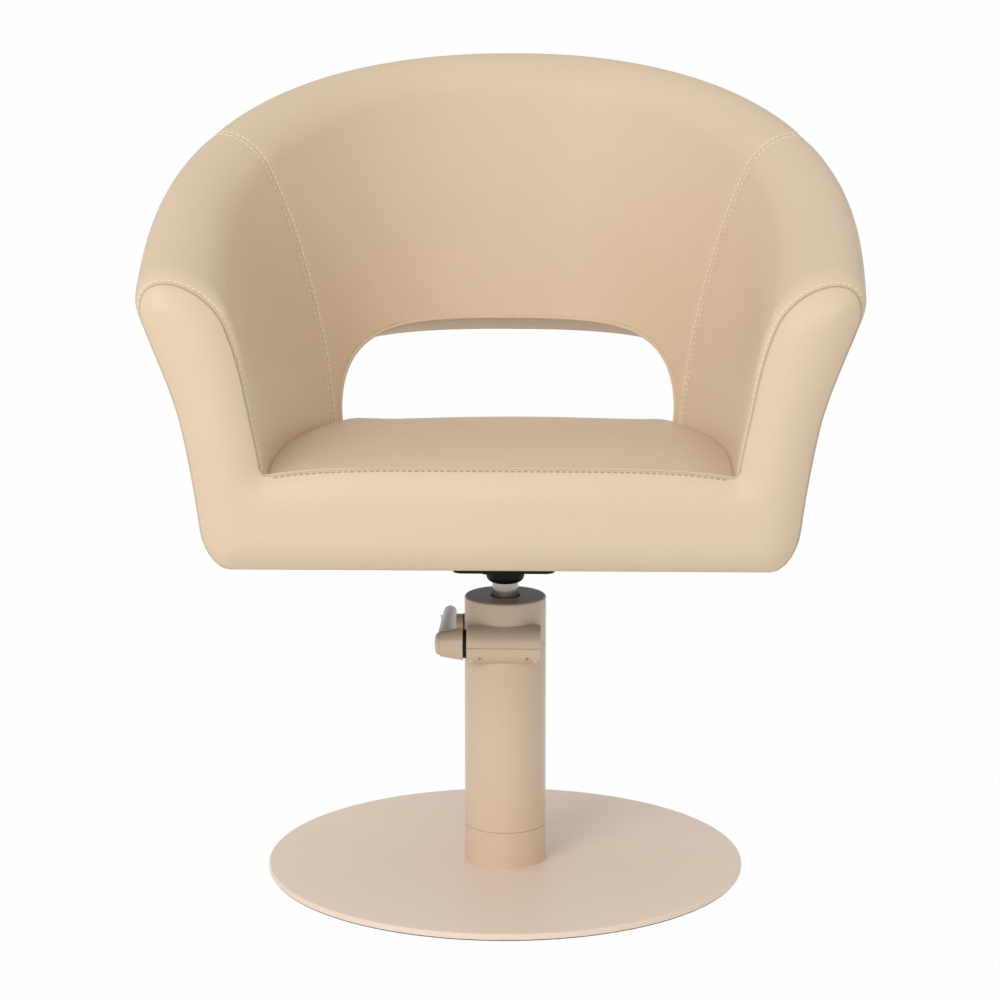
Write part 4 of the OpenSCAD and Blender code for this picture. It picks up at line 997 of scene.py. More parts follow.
@dataclass
class FrontPanel:
    """The one padded piece that faces both arms and the front of the seat.

    Stations run down one arm, round the corner and along the seat; at each a chord crosses from
    the outer edge to the inner one. The face stands out by crown (1 - (1 - d / reach)^power), d
    being the distance from the nearest edge.
    """

    tub: Tub = TUB
    seam: float = 3.0
    crown: float = 14.0
    reach: float = 38.0
    power: float = 2.5
    corner_out: float = 4.0
    back_gap: float = 0.3
    swell: float = 0.5
    swell_lengths: tuple[float, float, float, float] = (41, 33, 57, 71)
    calm_length: float = 30
    stitch_out: float = 1.6
    stitch_drop: float = 1.5
    stitch_normal: Triple = (0, -0.8, 0.6)
    across: int = 41
    tip_stations: int = 26
    arm_stations: int = 51
    corner_stations: int = 45
    seat_stations: int = 39
    leg_points: int = 60

    def face_x(self, height: Array, side: int) -> Array:
        """X of the arm's outer (1) or inner (-1) face at its front."""
        roll = self.tub.low_roll(0 * height, height) if side > 0 else 0
        return self.tub.point(0, height, side * self.tub.half(0 * height, height) - roll)[..., 0]

    def face_z(self, height: Array) -> Array:
        """Height in millimetres of a share of the arm's front."""
        low = self.tub.plane(-self.tub.front)
        return low + (self.tub.rim(np.array(0.0)) - low) * height

    def edges(self) -> tuple[Array, Array]:
        """Outer and inner edge of the panel as X and Z, from the left arm's top to the right one's.

        Returns:
            Two lines of the same number of points.
        """
        turn = float(self.tub.share_at(0.0, self.tub.seat_height + self.tub.corner_in))
        parts = (self.arm_edges(turn), self.corner_edges(turn), self.seat_edges(turn))
        halves = [np.concatenate([part[k] for part in parts]) for k in range(2)]
        return tuple(np.concatenate([e, e[::-1][1:] * np.array([-1, 1])]) for e in halves)

    def arm_edges(self, turn: float) -> tuple[Array, Array]:
        """Outer and inner edge over the left arm's rounded tip and down to where it turns.

        Args:
            turn: share of the arm's height where the inner edge starts to turn.

        Returns:
            Points as X and Z.
        """
        tub = self.tub
        rounding = float(tub.share_at(0.0, tub.rim_round))
        tip = np.radians(np.linspace(90, 0, self.tip_stations))
        h = 1 - rounding + rounding * np.sin(tip)
        middle = tub.point(0, h, 0)[..., 0]
        half = np.cos(tip) * tub.half(0 * h, h)
        low = np.linspace(1 - rounding, turn, self.arm_stations + 1)[1:]
        z = np.concatenate([self.face_z(h), self.face_z(low)])
        outer = np.concatenate([-middle - half, -self.face_x(low, 1)])
        inner = np.concatenate([half - middle, -self.face_x(low, -1)])
        return np.stack([outer, z], axis=1), np.stack([inner, z], axis=1)

    def corner_edges(self, turn: float) -> tuple[Array, Array]:
        """Outer edge down to the foot's rounded corner, and a quarter ellipse onto the seat.

        Args:
            turn: share of the arm's height where the inner edge starts to turn.

        Returns:
            Points as X and Z.
        """
        tub = self.tub
        h = np.linspace(turn, 0, self.leg_points)
        side = np.stack([-self.face_x(h, 1), self.face_z(h)], axis=1)
        x_in, z_in = self.seat_corner(turn)
        foot_x = np.linspace(side[-1, 0], x_in + tub.corner_in, self.leg_points)[1:]
        foot = np.stack([foot_x, np.full_like(foot_x, side[-1, 1])], axis=1)
        path = round_corner(np.concatenate([side, foot]), len(side) - 1, self.corner_out)
        outer = resample(path, self.corner_stations + 1)[1:]
        bend = np.radians(np.linspace(0, 90, self.corner_stations + 1))[1:]
        drop = tub.corner_in - float(tub.seat_wave(np.array(1.0)))
        x = x_in + tub.corner_in * (1 - np.cos(bend))
        return outer, np.stack([x, z_in + tub.corner_in - drop * np.sin(bend)], axis=1)

    def seat_edges(self, turn: float) -> tuple[Array, Array]:
        """Outer edge along the foot, and inner edge along the seat's wave, to the middle.

        Args:
            turn: share of the arm's height where the inner edge starts to turn.

        Returns:
            Points as X and Z.
        """
        x_in, z_in = self.seat_corner(turn)
        x = np.linspace(x_in + self.tub.corner_in, 0, self.seat_stations + 1)[1:]
        foot = np.full_like(x, float(self.face_z(np.array(0.0))))
        wave = z_in + self.tub.seat_wave(np.abs(x / x[0]))
        return np.stack([x, foot], axis=1), np.stack([x, wave], axis=1)

    def seat_corner(self, turn: float) -> tuple[float, float]:
        """X of the left arm's inner face where it turns, and height of the seat's front edge."""
        seat = float(self.tub.share_at(0.0, self.tub.seat_height))
        return -float(self.face_x(np.array(turn), -1)), float(self.face_z(seat))

    def build(self, stitching: Stitching) -> bpy.types.Object:
        """Makes the panel and lays the stitch row along the seat.

        Args:
            stitching: takes the row.

        Returns:
            The panel's object.
        """
        outer, inner = self.edges()
        s = (0.5 - 0.5 * np.cos(np.linspace(0, np.pi, self.across)))[None, :, None]
        flat = outer[:, None] * (1 - s) + inner[:, None] * s
        rim = np.concatenate([outer, inner[::-1]])
        distance = distance_to(flat.reshape(-1, 2), rim).reshape(flat.shape[:2])
        rise = self.crown * (1 - (1 - np.clip(distance / self.reach, 0, 1)) ** self.power)
        x, z = flat[..., 0], flat[..., 1]
        face = -self.tub.front - self.seam
        swell = self.swell * two_waves(x, z, self.swell_lengths)
        front = np.stack([x, face - rise - swell * smooth(distance / self.calm_length), z], axis=-1)
        back = np.stack([x, np.full_like(x, -self.tub.front - self.back_gap), z], axis=-1)
        points = np.concatenate([front, back[:, ::-1]], axis=1)
        # Painted shade along the panel's edges, in the groove beside the arm covers and the seat.
        shade = np.concatenate([FOLDED_SEAM.painted_shade(distance), 0 * distance], axis=1)
        before = self.tip_stations + self.arm_stations + self.corner_stations
        x, z = inner[before:-before].T
        line = np.stack([x, np.full_like(x, face - self.stitch_out), z - self.stitch_drop], axis=1)
        stitching.add(line, np.broadcast_to(np.array(self.stitch_normal), line.shape))
        return loops_piece("front_upholstery", points, {"seam_shade": shade})


def round_corner(line: Array, corner: int, radius: float, count: int = 14) -> Array:
    """Replaces a line's corner by a quadratic bend that starts and ends radius away from it.

    Args:
        line: points of the line.
        corner: index of its corner.
        radius: length that the bend takes of each leg.
        count: points of the bend.

    Returns:
        The bent line.
    """
    run = run_along(line)
    at = run[corner]
    a, c = read_along(line, run, np.array([at - radius, at + radius]))
    b = line[corner]
    t = np.linspace(0, 1, count)[:, None]
    bend = a * (1 - t) ** 2 + 2 * b * t * (1 - t) + c * t**2
    return np.concatenate([line[run < at - radius], bend, line[run > at + radius]])


def distance_to(points: Array, line: Array, parts: int = 40) -> Array:
    """Distance of points from a closed line, to its nearest segment.

    Args:
        points: points in a plane.
        line: corners of the closed line.
        parts: how many batches the points are worked in, to save memory.

    Returns:
        One distance a point.
    """
    start, leg = line, np.roll(line, -1, axis=0) - line
    size = np.maximum((leg**2).sum(axis=1), TINY)
    best = np.full(len(points), np.inf)
    for part in np.array_split(np.arange(len(points)), parts):
        gap = points[part][:, None] - start[None]
        t = np.clip((gap * leg[None]).sum(axis=2) / size, 0, 1)
        best[part] = np.linalg.norm(gap - leg[None] * t[..., None], axis=2).min(axis=1)
    return best


@dataclass
class SeatCushion:
    """Crowned seat that tucks down beside the arms and is sewn to the front panel."""

    tub: Tub = TUB
    rows: Spacing = Spacing(total=400, first=8, last=12, step=5, fine=1.2)
    columns: Spacing = Spacing(total=440, first=14, last=14, step=5, fine=1.3)
    welt: SeamStyle = SeamStyle(
        ridge=1.2, ridge_at=1.4, ridge_width=1.1, row_at=4.6, row_width=1.0, row_depth=0.4
    )
    past_jamb: float = 0.3
    side_rise: float = 12.0
    rear_drop: float = 18.0
    rear_power: float = 6
    crown: float = 8.0
    wave_power: float = 10
    deck_rise: float = 54.2
    deck_gap: float = 0.3
    gap: float = 0.6
    tuck: float = 7.0
    tuck_length: float = 48.0
    tuck_power: float = 1.6
    tuck_start: float = 25
    rear_tuck: float = 9.0
    rear_length: float = 16.0
    swell: float = 0.8
    swell_lengths: tuple[float, float, float, float] = (47, 61, 39, 83)
    calm_length: float = 50
    # Width of the painted shade at the seat's sides and back edge.
    shade_width: float = 2.5

    def edge_height(self, v: Array, u: Array) -> Array:
        """Height of the seat's edge above the underside, v back and u across."""
        sag = self.rear_drop * v**self.rear_power * np.sin(np.pi * u)
        return self.tub.seat_height + self.side_rise * v - sag

    def place(self, u: Array, v_angles: Array, top: bool) -> Array:
        """Points of the seat's top or bottom, filled in from its four edges.

        Args:
            u: shares across.
            v_angles: wall angles of the rows, front to back.
            top: the upper face, else the lower one.

        Returns:
            Grid of points, rows from front to back.
        """
        tub = self.tub
        rear_angle = 180 - v_angles[-1] - (180 - 2 * v_angles[-1]) * u
        deck = tub.inner_edge(v_angles, self.deck_rise, self.gap)
        v = np.clip((deck[:, 1] - deck[0, 1]) / (deck[-1, 1] - deck[0, 1]), 0, 1)
        edge = self.edge_height(v, 0 * v) if top else np.full_like(v, self.deck_rise)
        rear_e = self.edge_height(1.0 + 0 * u, u) if top else np.full_like(u, self.deck_rise)
        side = tub.inner_edge(v_angles, edge, self.gap)
        rear = tub.inner_edge(rear_angle, rear_e, self.gap)
        front_x, corner_x = side[0, 0], side[-1, 0]
        across = 2 * u - 1
        vv = v[:, None]
        x = front_x * across * (1 - vv) + rear[None, :, 0] * vv + side[:, :1] * across
        x = x - (front_x * (1 - vv) + corner_x * vv) * across
        y = side[0, 1] * (1 - vv) + rear[None, :, 1] * vv + side[:, 1:2]
        y = y - (side[0, 1] * (1 - vv) + side[-1, 1] * vv)
        if not top:
            return np.stack([x, y, tub.plane(y) + self.deck_rise + self.deck_gap], axis=-1)
        hump = self.crown * (1 - np.abs(across) ** 3) * (1 - np.abs(2 * vv - 1) ** 3)
        share = np.minimum(1, np.abs(x) / (abs(front_x) - tub.corner_in))
        hump = hump + tub.seat_wave(share) * (1 - vv) ** self.wave_power
        z = tub.plane(y) + self.edge_height(vv, u[None, :]) + hump
        return np.stack([x, y, z], axis=-1)

    def build(self) -> bpy.types.Object:
        """Makes the seat as closed loops from front to back.

        Returns:
            The seat's object.
        """
        tub = self.tub
        shares = self.rows.shares()
        last = (tub.jamb + self.past_jamb) / (tub.seam_low - tub.seam_gap)
        angles = tub.arm_angle(shares, 0 * shares) * last
        u = self.columns.shares()
        top = self.place(u, angles, True)
        bottom = self.place(u, angles, False)
        side = np.minimum(u, 1 - u)[None, :] * self.columns.total
        rear = lengths_along(top, End.LAST)
        front = lengths_along(top, End.FIRST)
        roll = self.tuck * np.maximum(0, 1 - side / self.tuck_length) ** self.tuck_power
        roll = roll * smooth(front / self.tuck_start)
        roll = np.maximum(roll, self.rear_tuck * np.maximum(0, 1 - rear / self.rear_length) ** 2)
        swell = self.swell * two_waves(top[..., 0], top[..., 1], self.swell_lengths)
        for distance in (side, rear, front):
            swell = swell * smooth(distance / self.calm_length)
        top[..., 2] += swell - roll + self.welt.relief(front)
        # Painted shade where the seat tucks in beside the arms and along its back edge.
        shade = np.maximum(bell(side, 0, self.shade_width), bell(rear, 0, self.shade_width))
        points = np.concatenate([top, bottom[:, ::-1]], axis=1)
        shade = np.concatenate([shade, 0 * shade], axis=1)
        return loops_piece("seat_upholstery", points, {"seam_shade": shade}, curved_ends=True)


# Materials


class Value:
    """A number that varies over a surface: arithmetic on it adds Math nodes."""

    def __init__(self, graph: "Graph", socket: bpy.types.NodeSocket) -> None:
        """Wraps a socket of a graph."""
        self.graph = graph
        self.socket = socket

    def _math(self, operation: str, *values: "Value | float") -> "Value":
        """Adds a Math node with this operation on the values."""
        node = self.graph.node("ShaderNodeMath", {"operation": operation}, dict(enumerate(values)))
        return Value(self.graph, node.outputs[0])

    def __add__(self, other: "Value | float") -> "Value":
        """Sum."""
        return self._math("ADD", self, other)

    __radd__ = __add__

    def __sub__(self, other: "Value | float") -> "Value":
        """Difference."""
        return self._math("SUBTRACT", self, other)

    def __rsub__(self, other: float) -> "Value":
        """Difference from a number."""
        return self._math("SUBTRACT", other, self)

    def __mul__(self, other: "Value | float") -> "Value":
        """Product."""
        return self._math("MULTIPLY", self, other)

    __rmul__ = __mul__

    def __pow__(self, other: "Value | float") -> "Value":
        """Power."""
        return self._math("POWER", self, other)

    def clamped(self) -> "Value":
        """The value kept between 0 and 1."""
        low = self._math("MAXIMUM", self, 0.0)
        return self._math("MINIMUM", low, 1.0)

    def with_share(self, share: float, other: "Value") -> "Value":
        """The value times a share, plus another times the rest."""
        return self * share + other * (1 - share)

    def about_half(self, size: float) -> "Value":
        """The value's distance from a half, times a size."""
        return (self - 0.5) * size


class Graph:
    """Node tree of one material."""

    def __init__(self, name: str) -> None:
        """Starts a material with an empty tree and an output."""
        self.material = bpy.data.materials.new(name)
        self.material.use_nodes = True
        self.tree = self.material.node_tree
        self.tree.nodes.clear()
        self.output = self.tree.nodes.new("ShaderNodeOutputMaterial")
        self.place = self.node("ShaderNodeTexCoord").outputs["Object"]

    def node(
        self,
        kind: str,
        settings: dict[str, Any] | None = None,
        values: dict[str | int, Any] | None = None,
    ) -> bpy.types.Node:
        """Adds a node.

        Args:
            kind: the node's type.
            settings: properties, set first.
            values: what each input socket gets, a number, a colour, a socket or a Value.

        Returns:
            The node.
        """
        made = self.tree.nodes.new(kind)
        for key, value in (settings or {}).items():
            setattr(made, key, value)
        for key, value in (values or {}).items():
            socket = made.inputs[key]
            if isinstance(value, Value):
                self.tree.links.new(value.socket, socket)
            elif isinstance(value, bpy.types.NodeSocket):
                self.tree.links.new(value, socket)
            elif isinstance(value, tuple) and len(value) == 3 and socket.type == "RGBA":
                socket.default_value = (*value, 1)
            else:
                socket.default_value = value
        return made

    def stretched(self, scale: Triple) -> bpy.types.NodeSocket:
        """Object coordinates times a scale on each axis."""
        mapped = self.node("ShaderNodeMapping", {}, {"Vector": self.place, "Scale": scale})
        return mapped.outputs["Vector"]

    def noise(
        self, scale: float, detail: float, vector: bpy.types.NodeSocket | None = None
    ) -> Value:
        """Noise from 0 to 1 on object coordinates, or on another vector."""
        values = {"Vector": vector or self.place, "Scale": scale, "Detail": detail}
        return Value(self, self.node("ShaderNodeTexNoise", {}, values).outputs[0])

    def cells(self, scale: float, feature: str = "F1") -> Value:
        """Distance in a pattern of cells."""
        values = {"Vector": self.place, "Scale": scale}
        node = self.node("ShaderNodeTexVoronoi", {"feature": feature}, values)
        return Value(self, node.outputs[0])

    def attribute(self, name: str) -> Value:
        """A value that the piece's mesh holds."""
        node = self.node("ShaderNodeAttribute", {"attribute_name": name})
        return Value(self, node.outputs["Fac"])

    def mix(self, factor: Value, a: Any, b: Any) -> bpy.types.NodeSocket:
        """Mix of two colours by a factor that is kept between 0 and 1."""
        values = {0: factor.clamped(), 6: a, 7: b}
        return self.node("ShaderNodeMix", {"data_type": "RGBA"}, values).outputs[2]

    def bump(self, height: Value, strength: float, distance: float) -> bpy.types.NodeSocket:
        """Normal of a height, in metres times distance."""
        values = {"Height": height, "Strength": strength, "Distance": distance}
        return self.node("ShaderNodeBump", {}, values).outputs["Normal"]

    def surface(self, **values: Any) -> bpy.types.Material:
        """Ends the tree in a principled shader with these inputs, named with _ for a space."""
        named = {key.replace("_", " "): value for key, value in values.items()}
        shader = self.node("ShaderNodeBsdfPrincipled", {}, named)
        self.tree.links.new(shader.outputs[0], self.output.inputs["Surface"])
        return self.material


@dataclass(frozen=True)
class Leather:
    """Smooth upholstery leather: fine pebble grain, soft shine, and painted shade at its seams and
    creases.
    """

    name: str = "beige_leather"
    tone: Colour = (0.655, 0.510, 0.355)
    light: Colour = (0.700, 0.552, 0.395)
    light_share: float = 0.7
    # Colour of the painted shade at seams and creases, and how far it is mixed in.
    shade_tone: Colour = (0.40, 0.275, 0.165)
    shade_share: float = 0.75
    roughness: float = 0.46
    mottle_roughness: float = 0.12
    pebble_roughness: float = 0.06
    specular: float = 0.42
    pebbles: float = 780.0
    pebble_share: float = 0.7
    pores: float = 2600.0
    clouds: float = 9.0
    mottles: float = 60.0
    bump: float = 0.22
    bump_depth: float = 0.0004

    def build(self) -> bpy.types.Material:
        """Makes the material."""
        g = Graph(self.name)
        pebble = g.cells(self.pebbles, "SMOOTH_F1")
        pore = g.noise(self.pores, detail=2.0)
        cloud = g.noise(self.clouds, detail=3.0)
        mottle = g.noise(self.mottles, detail=4.0)
        base = g.mix(cloud.with_share(self.light_share, mottle), self.tone, self.light)
        # Painted shade: seam_shade darkens the leather in seam valleys, in the seat's creases and
        # across the opening strip.
        seam = g.attribute("seam_shade").clamped()
        rough = self.roughness + mottle.about_half(self.mottle_roughness)
        height = pebble.with_share(self.pebble_share, pore)
        return g.surface(
            Base_Color=g.mix(seam * self.shade_share, base, self.shade_tone),
            Roughness=rough + pebble * self.pebble_roughness,
            Normal=g.bump(height, self.bump, self.bump_depth),
            Specular_IOR_Level=self.specular,
        )


@dataclass(frozen=True)
class Paint:
    """Powder paint on metal: fine orange peel and a satin coat."""

    name: str
    tone: Colour
    roughness: float = 0.38
    dust_roughness: float = 0.1
    specular: float = 0.5
    dark_share: float = 0.955
    peel: float = 900.0
    clouds: float = 14.0
    cloud_share: float = 0.6
    dust: float = 220.0
    bump: float = 0.12
    bump_depth: float = 0.0003

    def build(self) -> bpy.types.Material:
        """Makes the material."""
        g = Graph(self.name)
        peel = g.noise(self.peel, detail=2.0)
        cloud = g.noise(self.clouds, detail=3.0)
        dust = g.noise(self.dust, detail=5.0)
        dark = tuple(c * self.dark_share for c in self.tone)
        return g.surface(
            Base_Color=g.mix(cloud.with_share(self.cloud_share, dust), dark, self.tone),
            Roughness=self.roughness + dust.about_half(self.dust_roughness),
            Normal=g.bump(peel, self.bump, self.bump_depth),
            Specular_IOR_Level=self.specular,
        )


@dataclass(frozen=True)
class Metal:
    """Bare metal: turned or ground lines along one axis, and light stains."""

    name: str
    tone: Colour
    roughness: float = 0.3
    lines: Triple = (40.0, 40.0, 2600.0)
    line_bump: float = 0.25
    metallic: float = 1.0
    line_roughness: float = 0.2
    stains: float = 35.0
    stain_share: float = 0.5
    stain_roughness: float = 0.12
    dark_share: float = 0.8
    bump_depth: float = 0.0002

    def build(self) -> bpy.types.Material:
        """Makes the material."""
        g = Graph(self.name)
        line = g.noise(1.0, detail=3.0, vector=g.stretched(self.lines))
        stain = g.noise(self.stains, detail=4.0)
        dark = tuple(c * self.dark_share for c in self.tone)
        rough = self.roughness + line.about_half(self.line_roughness)
        return g.surface(
            Base_Color=g.mix(stain.with_share(self.stain_share, line), dark, self.tone),
            Roughness=rough + stain.about_half(self.stain_roughness),
            Normal=g.bump(line, self.line_bump, self.bump_depth),
            Metallic=self.metallic,
        )


@dataclass(frozen=True)
class Rubber:
    """Black rubber or plastic: dull, with a pebbled skin and pale dust."""

    name: str = "black_rubber"
    tone: Colour = (0.008, 0.008, 0.008)
    dust: Colour = (0.026, 0.025, 0.024)
    dust_power: float = 2.2
    roughness: float = 0.6
    cloud_roughness: float = 0.2
    specular: float = 0.25
    pebbles: float = 1100.0
    clouds: float = 80.0
    bump: float = 0.3
    bump_depth: float = 0.0003

    def build(self) -> bpy.types.Material:
        """Makes the material."""
        g = Graph(self.name)
        pebble = g.cells(self.pebbles)
        cloud = g.noise(self.clouds, detail=5.0)
        return g.surface(
            Base_Color=g.mix(cloud**self.dust_power, self.tone, self.dust),
            Roughness=self.roughness + cloud.about_half(self.cloud_roughness),
            Normal=g.bump(pebble, self.bump, self.bump_depth),
            Specular_IOR_Level=self.specular,
        )


@dataclass(frozen=True)
class Plywood:
    """Birch plywood: long grain on the faces and thin plies at the edges."""

    name: str = "birch_plywood"
    tone: Colour = (0.62, 0.44, 0.25)
    dark: Colour = (0.40, 0.25, 0.12)
    grain: Triple = (25.0, 260.0, 25.0)
    grain_share: float = 0.7
    plies: Triple = (2.0, 2.0, 700.0)
    ply_relief: float = 0.5
    roughness: float = 0.62
    grain_roughness: float = 0.2
    bump: float = 0.3
    bump_depth: float = 0.0003

    def build(self) -> bpy.types.Material:
        """Makes the material."""
        g = Graph(self.name)
        grain = g.noise(1.0, detail=6.0, vector=g.stretched(self.grain))
        ply = g.noise(1.0, detail=1.0, vector=g.stretched(self.plies))
        return g.surface(
            Base_Color=g.mix(grain.with_share(self.grain_share, ply), self.tone, self.dark),
            Roughness=self.roughness + grain.about_half(self.grain_roughness),
            Normal=g.bump(grain + ply * self.ply_relief, self.bump, self.bump_depth),
        )


@dataclass(frozen=True)
class Cloth:
    """Black spun dust cloth: matted fibres with embossed points."""

    name: str = "dust_cloth"
    tone: Colour = (0.016, 0.016, 0.017)
    light: Colour = (0.05, 0.05, 0.052)
    fibres: float = 1500.0
    fibre_share: float = 0.6
    points: float = 420.0
    roughness: float = 0.9
    fibre_gloss: float = 0.1
    bump: float = 0.5
    bump_depth: float = 0.0004

    def build(self) -> bpy.types.Material:
        """Makes the material."""
        g = Graph(self.name)
        fibre = g.noise(self.fibres, detail=6.0)
        point = g.cells(self.points)
        return g.surface(
            Base_Color=g.mix(fibre.with_share(self.fibre_share, point), self.tone, self.light),
            Roughness=self.roughness - fibre * self.fibre_gloss,
            Normal=g.bump(fibre + point, self.bump, self.bump_depth),
        )


@dataclass(frozen=True)
class Thread:
    """Sewing thread: twisted and slightly glossy."""

    name: str = "cream_thread"
    tone: Colour = (0.95, 0.86, 0.73)
    dark: Colour = (0.85, 0.75, 0.61)
    twists: float = 3800.0
    roughness: float = 0.55
    twist_roughness: float = 0.1
    bump: float = 0.4
    bump_depth: float = 0.0002

    def build(self) -> bpy.types.Material:
        """Makes the material."""
        g = Graph(self.name)
        twist = g.noise(self.twists, detail=2.0)
        return g.surface(
            Base_Color=g.mix(twist, self.dark, self.tone),
            Roughness=self.roughness + twist * self.twist_roughness,
            Normal=g.bump(twist, self.bump, self.bump_depth),
        )


# Underside, stand and studio


@dataclass
class DustCover:
    """Thin cloth stapled under the seat, with a slight sag between its edges and the bracket."""

    tub: Tub = TUB
    inset: float = 6.0
    thickness: float = 0.5
    sag: float = 2.5
    below: float = 0.6
    rings: int = 40
    wall_points: int = 200
    front_points: int = 60
    edge_points: int = 240
    middle_y: float = -20.0
    first_ring: float = 0.0005
    reach: float = 200.0
    clear_x: float = 84.0
    clear_y: float = 78.0
    droop_length: float = 60.0
    scallop: float = 0.5
    scallops: int = 34
    scallop_reach: float = 14.0
    stapled_edge: float = 4.0

    def build(self) -> bpy.types.Object:
        """Makes the cloth as a closed thin sheet from the middle out to its stapled edge.

        Returns:
            The cloth's object.
        """
        tub = self.tub
        angle = np.linspace(0, 180, self.wall_points)
        edge = tub.point(angle, 0 * angle, self.inset)
        front = np.linspace(edge[-1], edge[0], self.front_points)[1:]
        line = resample(np.concatenate([edge, front]), self.edge_points + 1)[:-1]
        share = np.linspace(self.first_ring, 1, self.rings)[:, None, None]
        middle = np.array([0, self.middle_y, 0])
        flat = middle + (line[None] - middle) * share
        x, y = flat[..., 0], flat[..., 1]
        past_x = np.maximum(np.abs(x) - self.clear_x, 0)
        past_y = np.maximum(np.abs(y) - self.clear_y, 0)
        rim = (1 - share[..., 0]) * self.reach
        droop = self.sag * smooth(np.hypot(past_x, past_y) / self.droop_length)
        droop = droop * smooth(rim / self.droop_length)
        turn = np.linspace(0, 2 * np.pi * self.scallops, self.edge_points)[None, :]
        wave = self.scallop * np.sin(turn) * np.exp(-rim / self.scallop_reach)
        low = tub.plane(y) - self.below - droop - wave * smooth(rim / self.stapled_edge)
        outer = np.stack([x, y, low], axis=-1)
        inner = outer + np.array([0, 0, self.thickness])
        piece = loops_piece("underside_cloth", np.concatenate([outer, inner[::-1]]))
        x, y = line[:, 0], line[:, 1]
        area = 0.5 * abs((x * np.roll(y, -1) - y * np.roll(x, -1)).sum())
        area * MM * MM
        return piece


@dataclass
class LeverArm:
    """Cast arm of the pump lever: a tapering bar with a round end and fully rounded edges.

    In side view it is bounded by two straight lines and an arc; loops of that outline shrink by a
    quarter circle toward each face.
    """

    axle_y: float = -38.0
    axle_z: float = 250.0
    back: float = 176.0
    drop: float = 21.0
    start: float = 12.0
    hub_radius: float = 13.3
    end_radius: float = 17.5
    inner_x: float = -56.0
    outer_x: float = -70.0
    edge: float = 6.4
    turns: int = 15
    end_points: int = 41
    side_points: int = 11

    def outline(self, inset: float) -> Array:
        """Outline in the arm's own plane, along it and square to it.

        Args:
            inset: how far it lies inside the widest outline.

        Returns:
            A closed line.
        """
        length = math.hypot(self.back, self.drop)
        arc = np.radians(np.linspace(90, -90, self.end_points))
        radius = self.end_radius - inset
        round_end = np.stack([length + radius * np.cos(arc), radius * np.sin(arc)], axis=1)
        along = np.linspace(self.start, length, self.side_points, endpoint=False)
        half = self.hub_radius + (self.end_radius - self.hub_radius) * along / length - inset
        upper = np.stack([along, half], axis=1)
        return np.concatenate([upper, round_end, upper[::-1] * np.array([1, -1])])

    def build(self) -> bpy.types.Object:
        """Makes the arm.

        Returns:
            The arm's object.
        """
        phi = np.radians(np.linspace(-90, 90, self.turns))
        middle = (self.inner_x + self.outer_x) / 2
        reach = (self.inner_x - self.outer_x) / 2
        slant = -math.atan2(self.drop, self.back)
        loops = []
        for p in phi:
            flat = self.outline(self.edge * (1 - math.cos(p)))
            y = self.axle_y + flat[:, 0] * math.cos(slant) - flat[:, 1] * math.sin(slant)
            z = self.axle_z + flat[:, 0] * math.sin(slant) + flat[:, 1] * math.cos(slant)
            loops.append(np.stack([np.full_like(y, middle + reach * math.sin(p)), y, z], axis=1))
        return loops_piece("lever_bar", np.stack(loops))


@dataclass(frozen=True)
class Stand:
    """Which of the frame's own pieces wear which finish."""

    paint: tuple[str, ...] = (
        "column_tube", "column_collar", "column_head", "housing_cover", "cover_screws",
        "bush_screws", "lever_hub", "hub_cap", "pedal_sleeve",
    )
    plate: tuple[str, ...] = ("base_disc",)
    black: tuple[str, ...] = ("seat_socket", "socket_screw", "seat_bracket")
    rubber: tuple[str, ...] = (
        "floor_pad", "rod_wiper", "pump_seal", "piston_ring", "pedal_grip", "hub_washer",
    )
    bronze: tuple[str, ...] = ("rod_gland", "shaft_bushes")
    alloy: tuple[str, ...] = ("lever_arm", "pedal_pin")
    rod: tuple[str, ...] = ("piston_rod",)
    wood: tuple[str, ...] = (
        "seat_board", "front_rail", "deck_rails", "seat_deck", "side_panel_left",
        "side_panel_right", "back_band", "rear_rail",
    )

    def dress(self, nodes: dict[str, bpy.types.Object]) -> None:
        """Gives every piece of the frame its material; what isn't named is bright steel.

        Args:
            nodes: the frame's pieces by name.
        """
        rod = Metal(
            "brushed_rod",
            tone=(0.43, 0.385, 0.335),
            roughness=0.2,
            lines=(1400.0, 1400.0, 12.0),
            line_bump=0.5,
        )
        black = Paint("black_paint", tone=(0.006, 0.0055, 0.005), roughness=0.55, specular=0.2)
        finishes = {
            self.paint: Paint("column_paint", tone=(0.70, 0.535, 0.385), roughness=0.34),
            # The disc wears the column's beige made lighter: painted light on the disc's top.
            self.plate: Paint("plate_paint", tone=(0.89, 0.715, 0.575), roughness=0.42),
            self.black: black,
            self.rubber: Rubber(),
            self.bronze: Metal("bronze", tone=(0.62, 0.42, 0.2), roughness=0.35),
            self.alloy: Paint("pale_alloy", tone=(0.97, 0.94, 0.88), roughness=0.5),
            self.rod: rod,
            self.wood: Plywood(),
        }
        steel = Metal("bright_steel", tone=(0.6, 0.6, 0.61)).build()
        by_name = {}
        for names, finish in finishes.items():
            made = finish.build()
            by_name.update({name: made for name in names})
        for name, node in nodes.items():
            node.data.materials.clear()
            node.data.materials.append(by_name.get(name, steel))


@dataclass(frozen=True)
class SoftBox:
    """Rectangular lamp: its place, the point it faces, its size in metres and its watts."""

    name: str
    at: Triple
    aim: Triple
    size: tuple[float, float]
    power: float

    def add(self) -> None:
        """Adds the lamp to the scene."""
        data = bpy.data.lights.new(self.name, "AREA")
        data.shape = "RECTANGLE"
        data.size, data.size_y = self.size
        data.energy = self.power
        lamp = bpy.data.objects.new(self.name, data)
        lamp.location = self.at
        facing = Vector(self.aim) - Vector(self.at)
        lamp.rotation_euler = facing.to_track_quat("-Z", "Y").to_euler()
        bpy.context.scene.collection.objects.link(lamp)


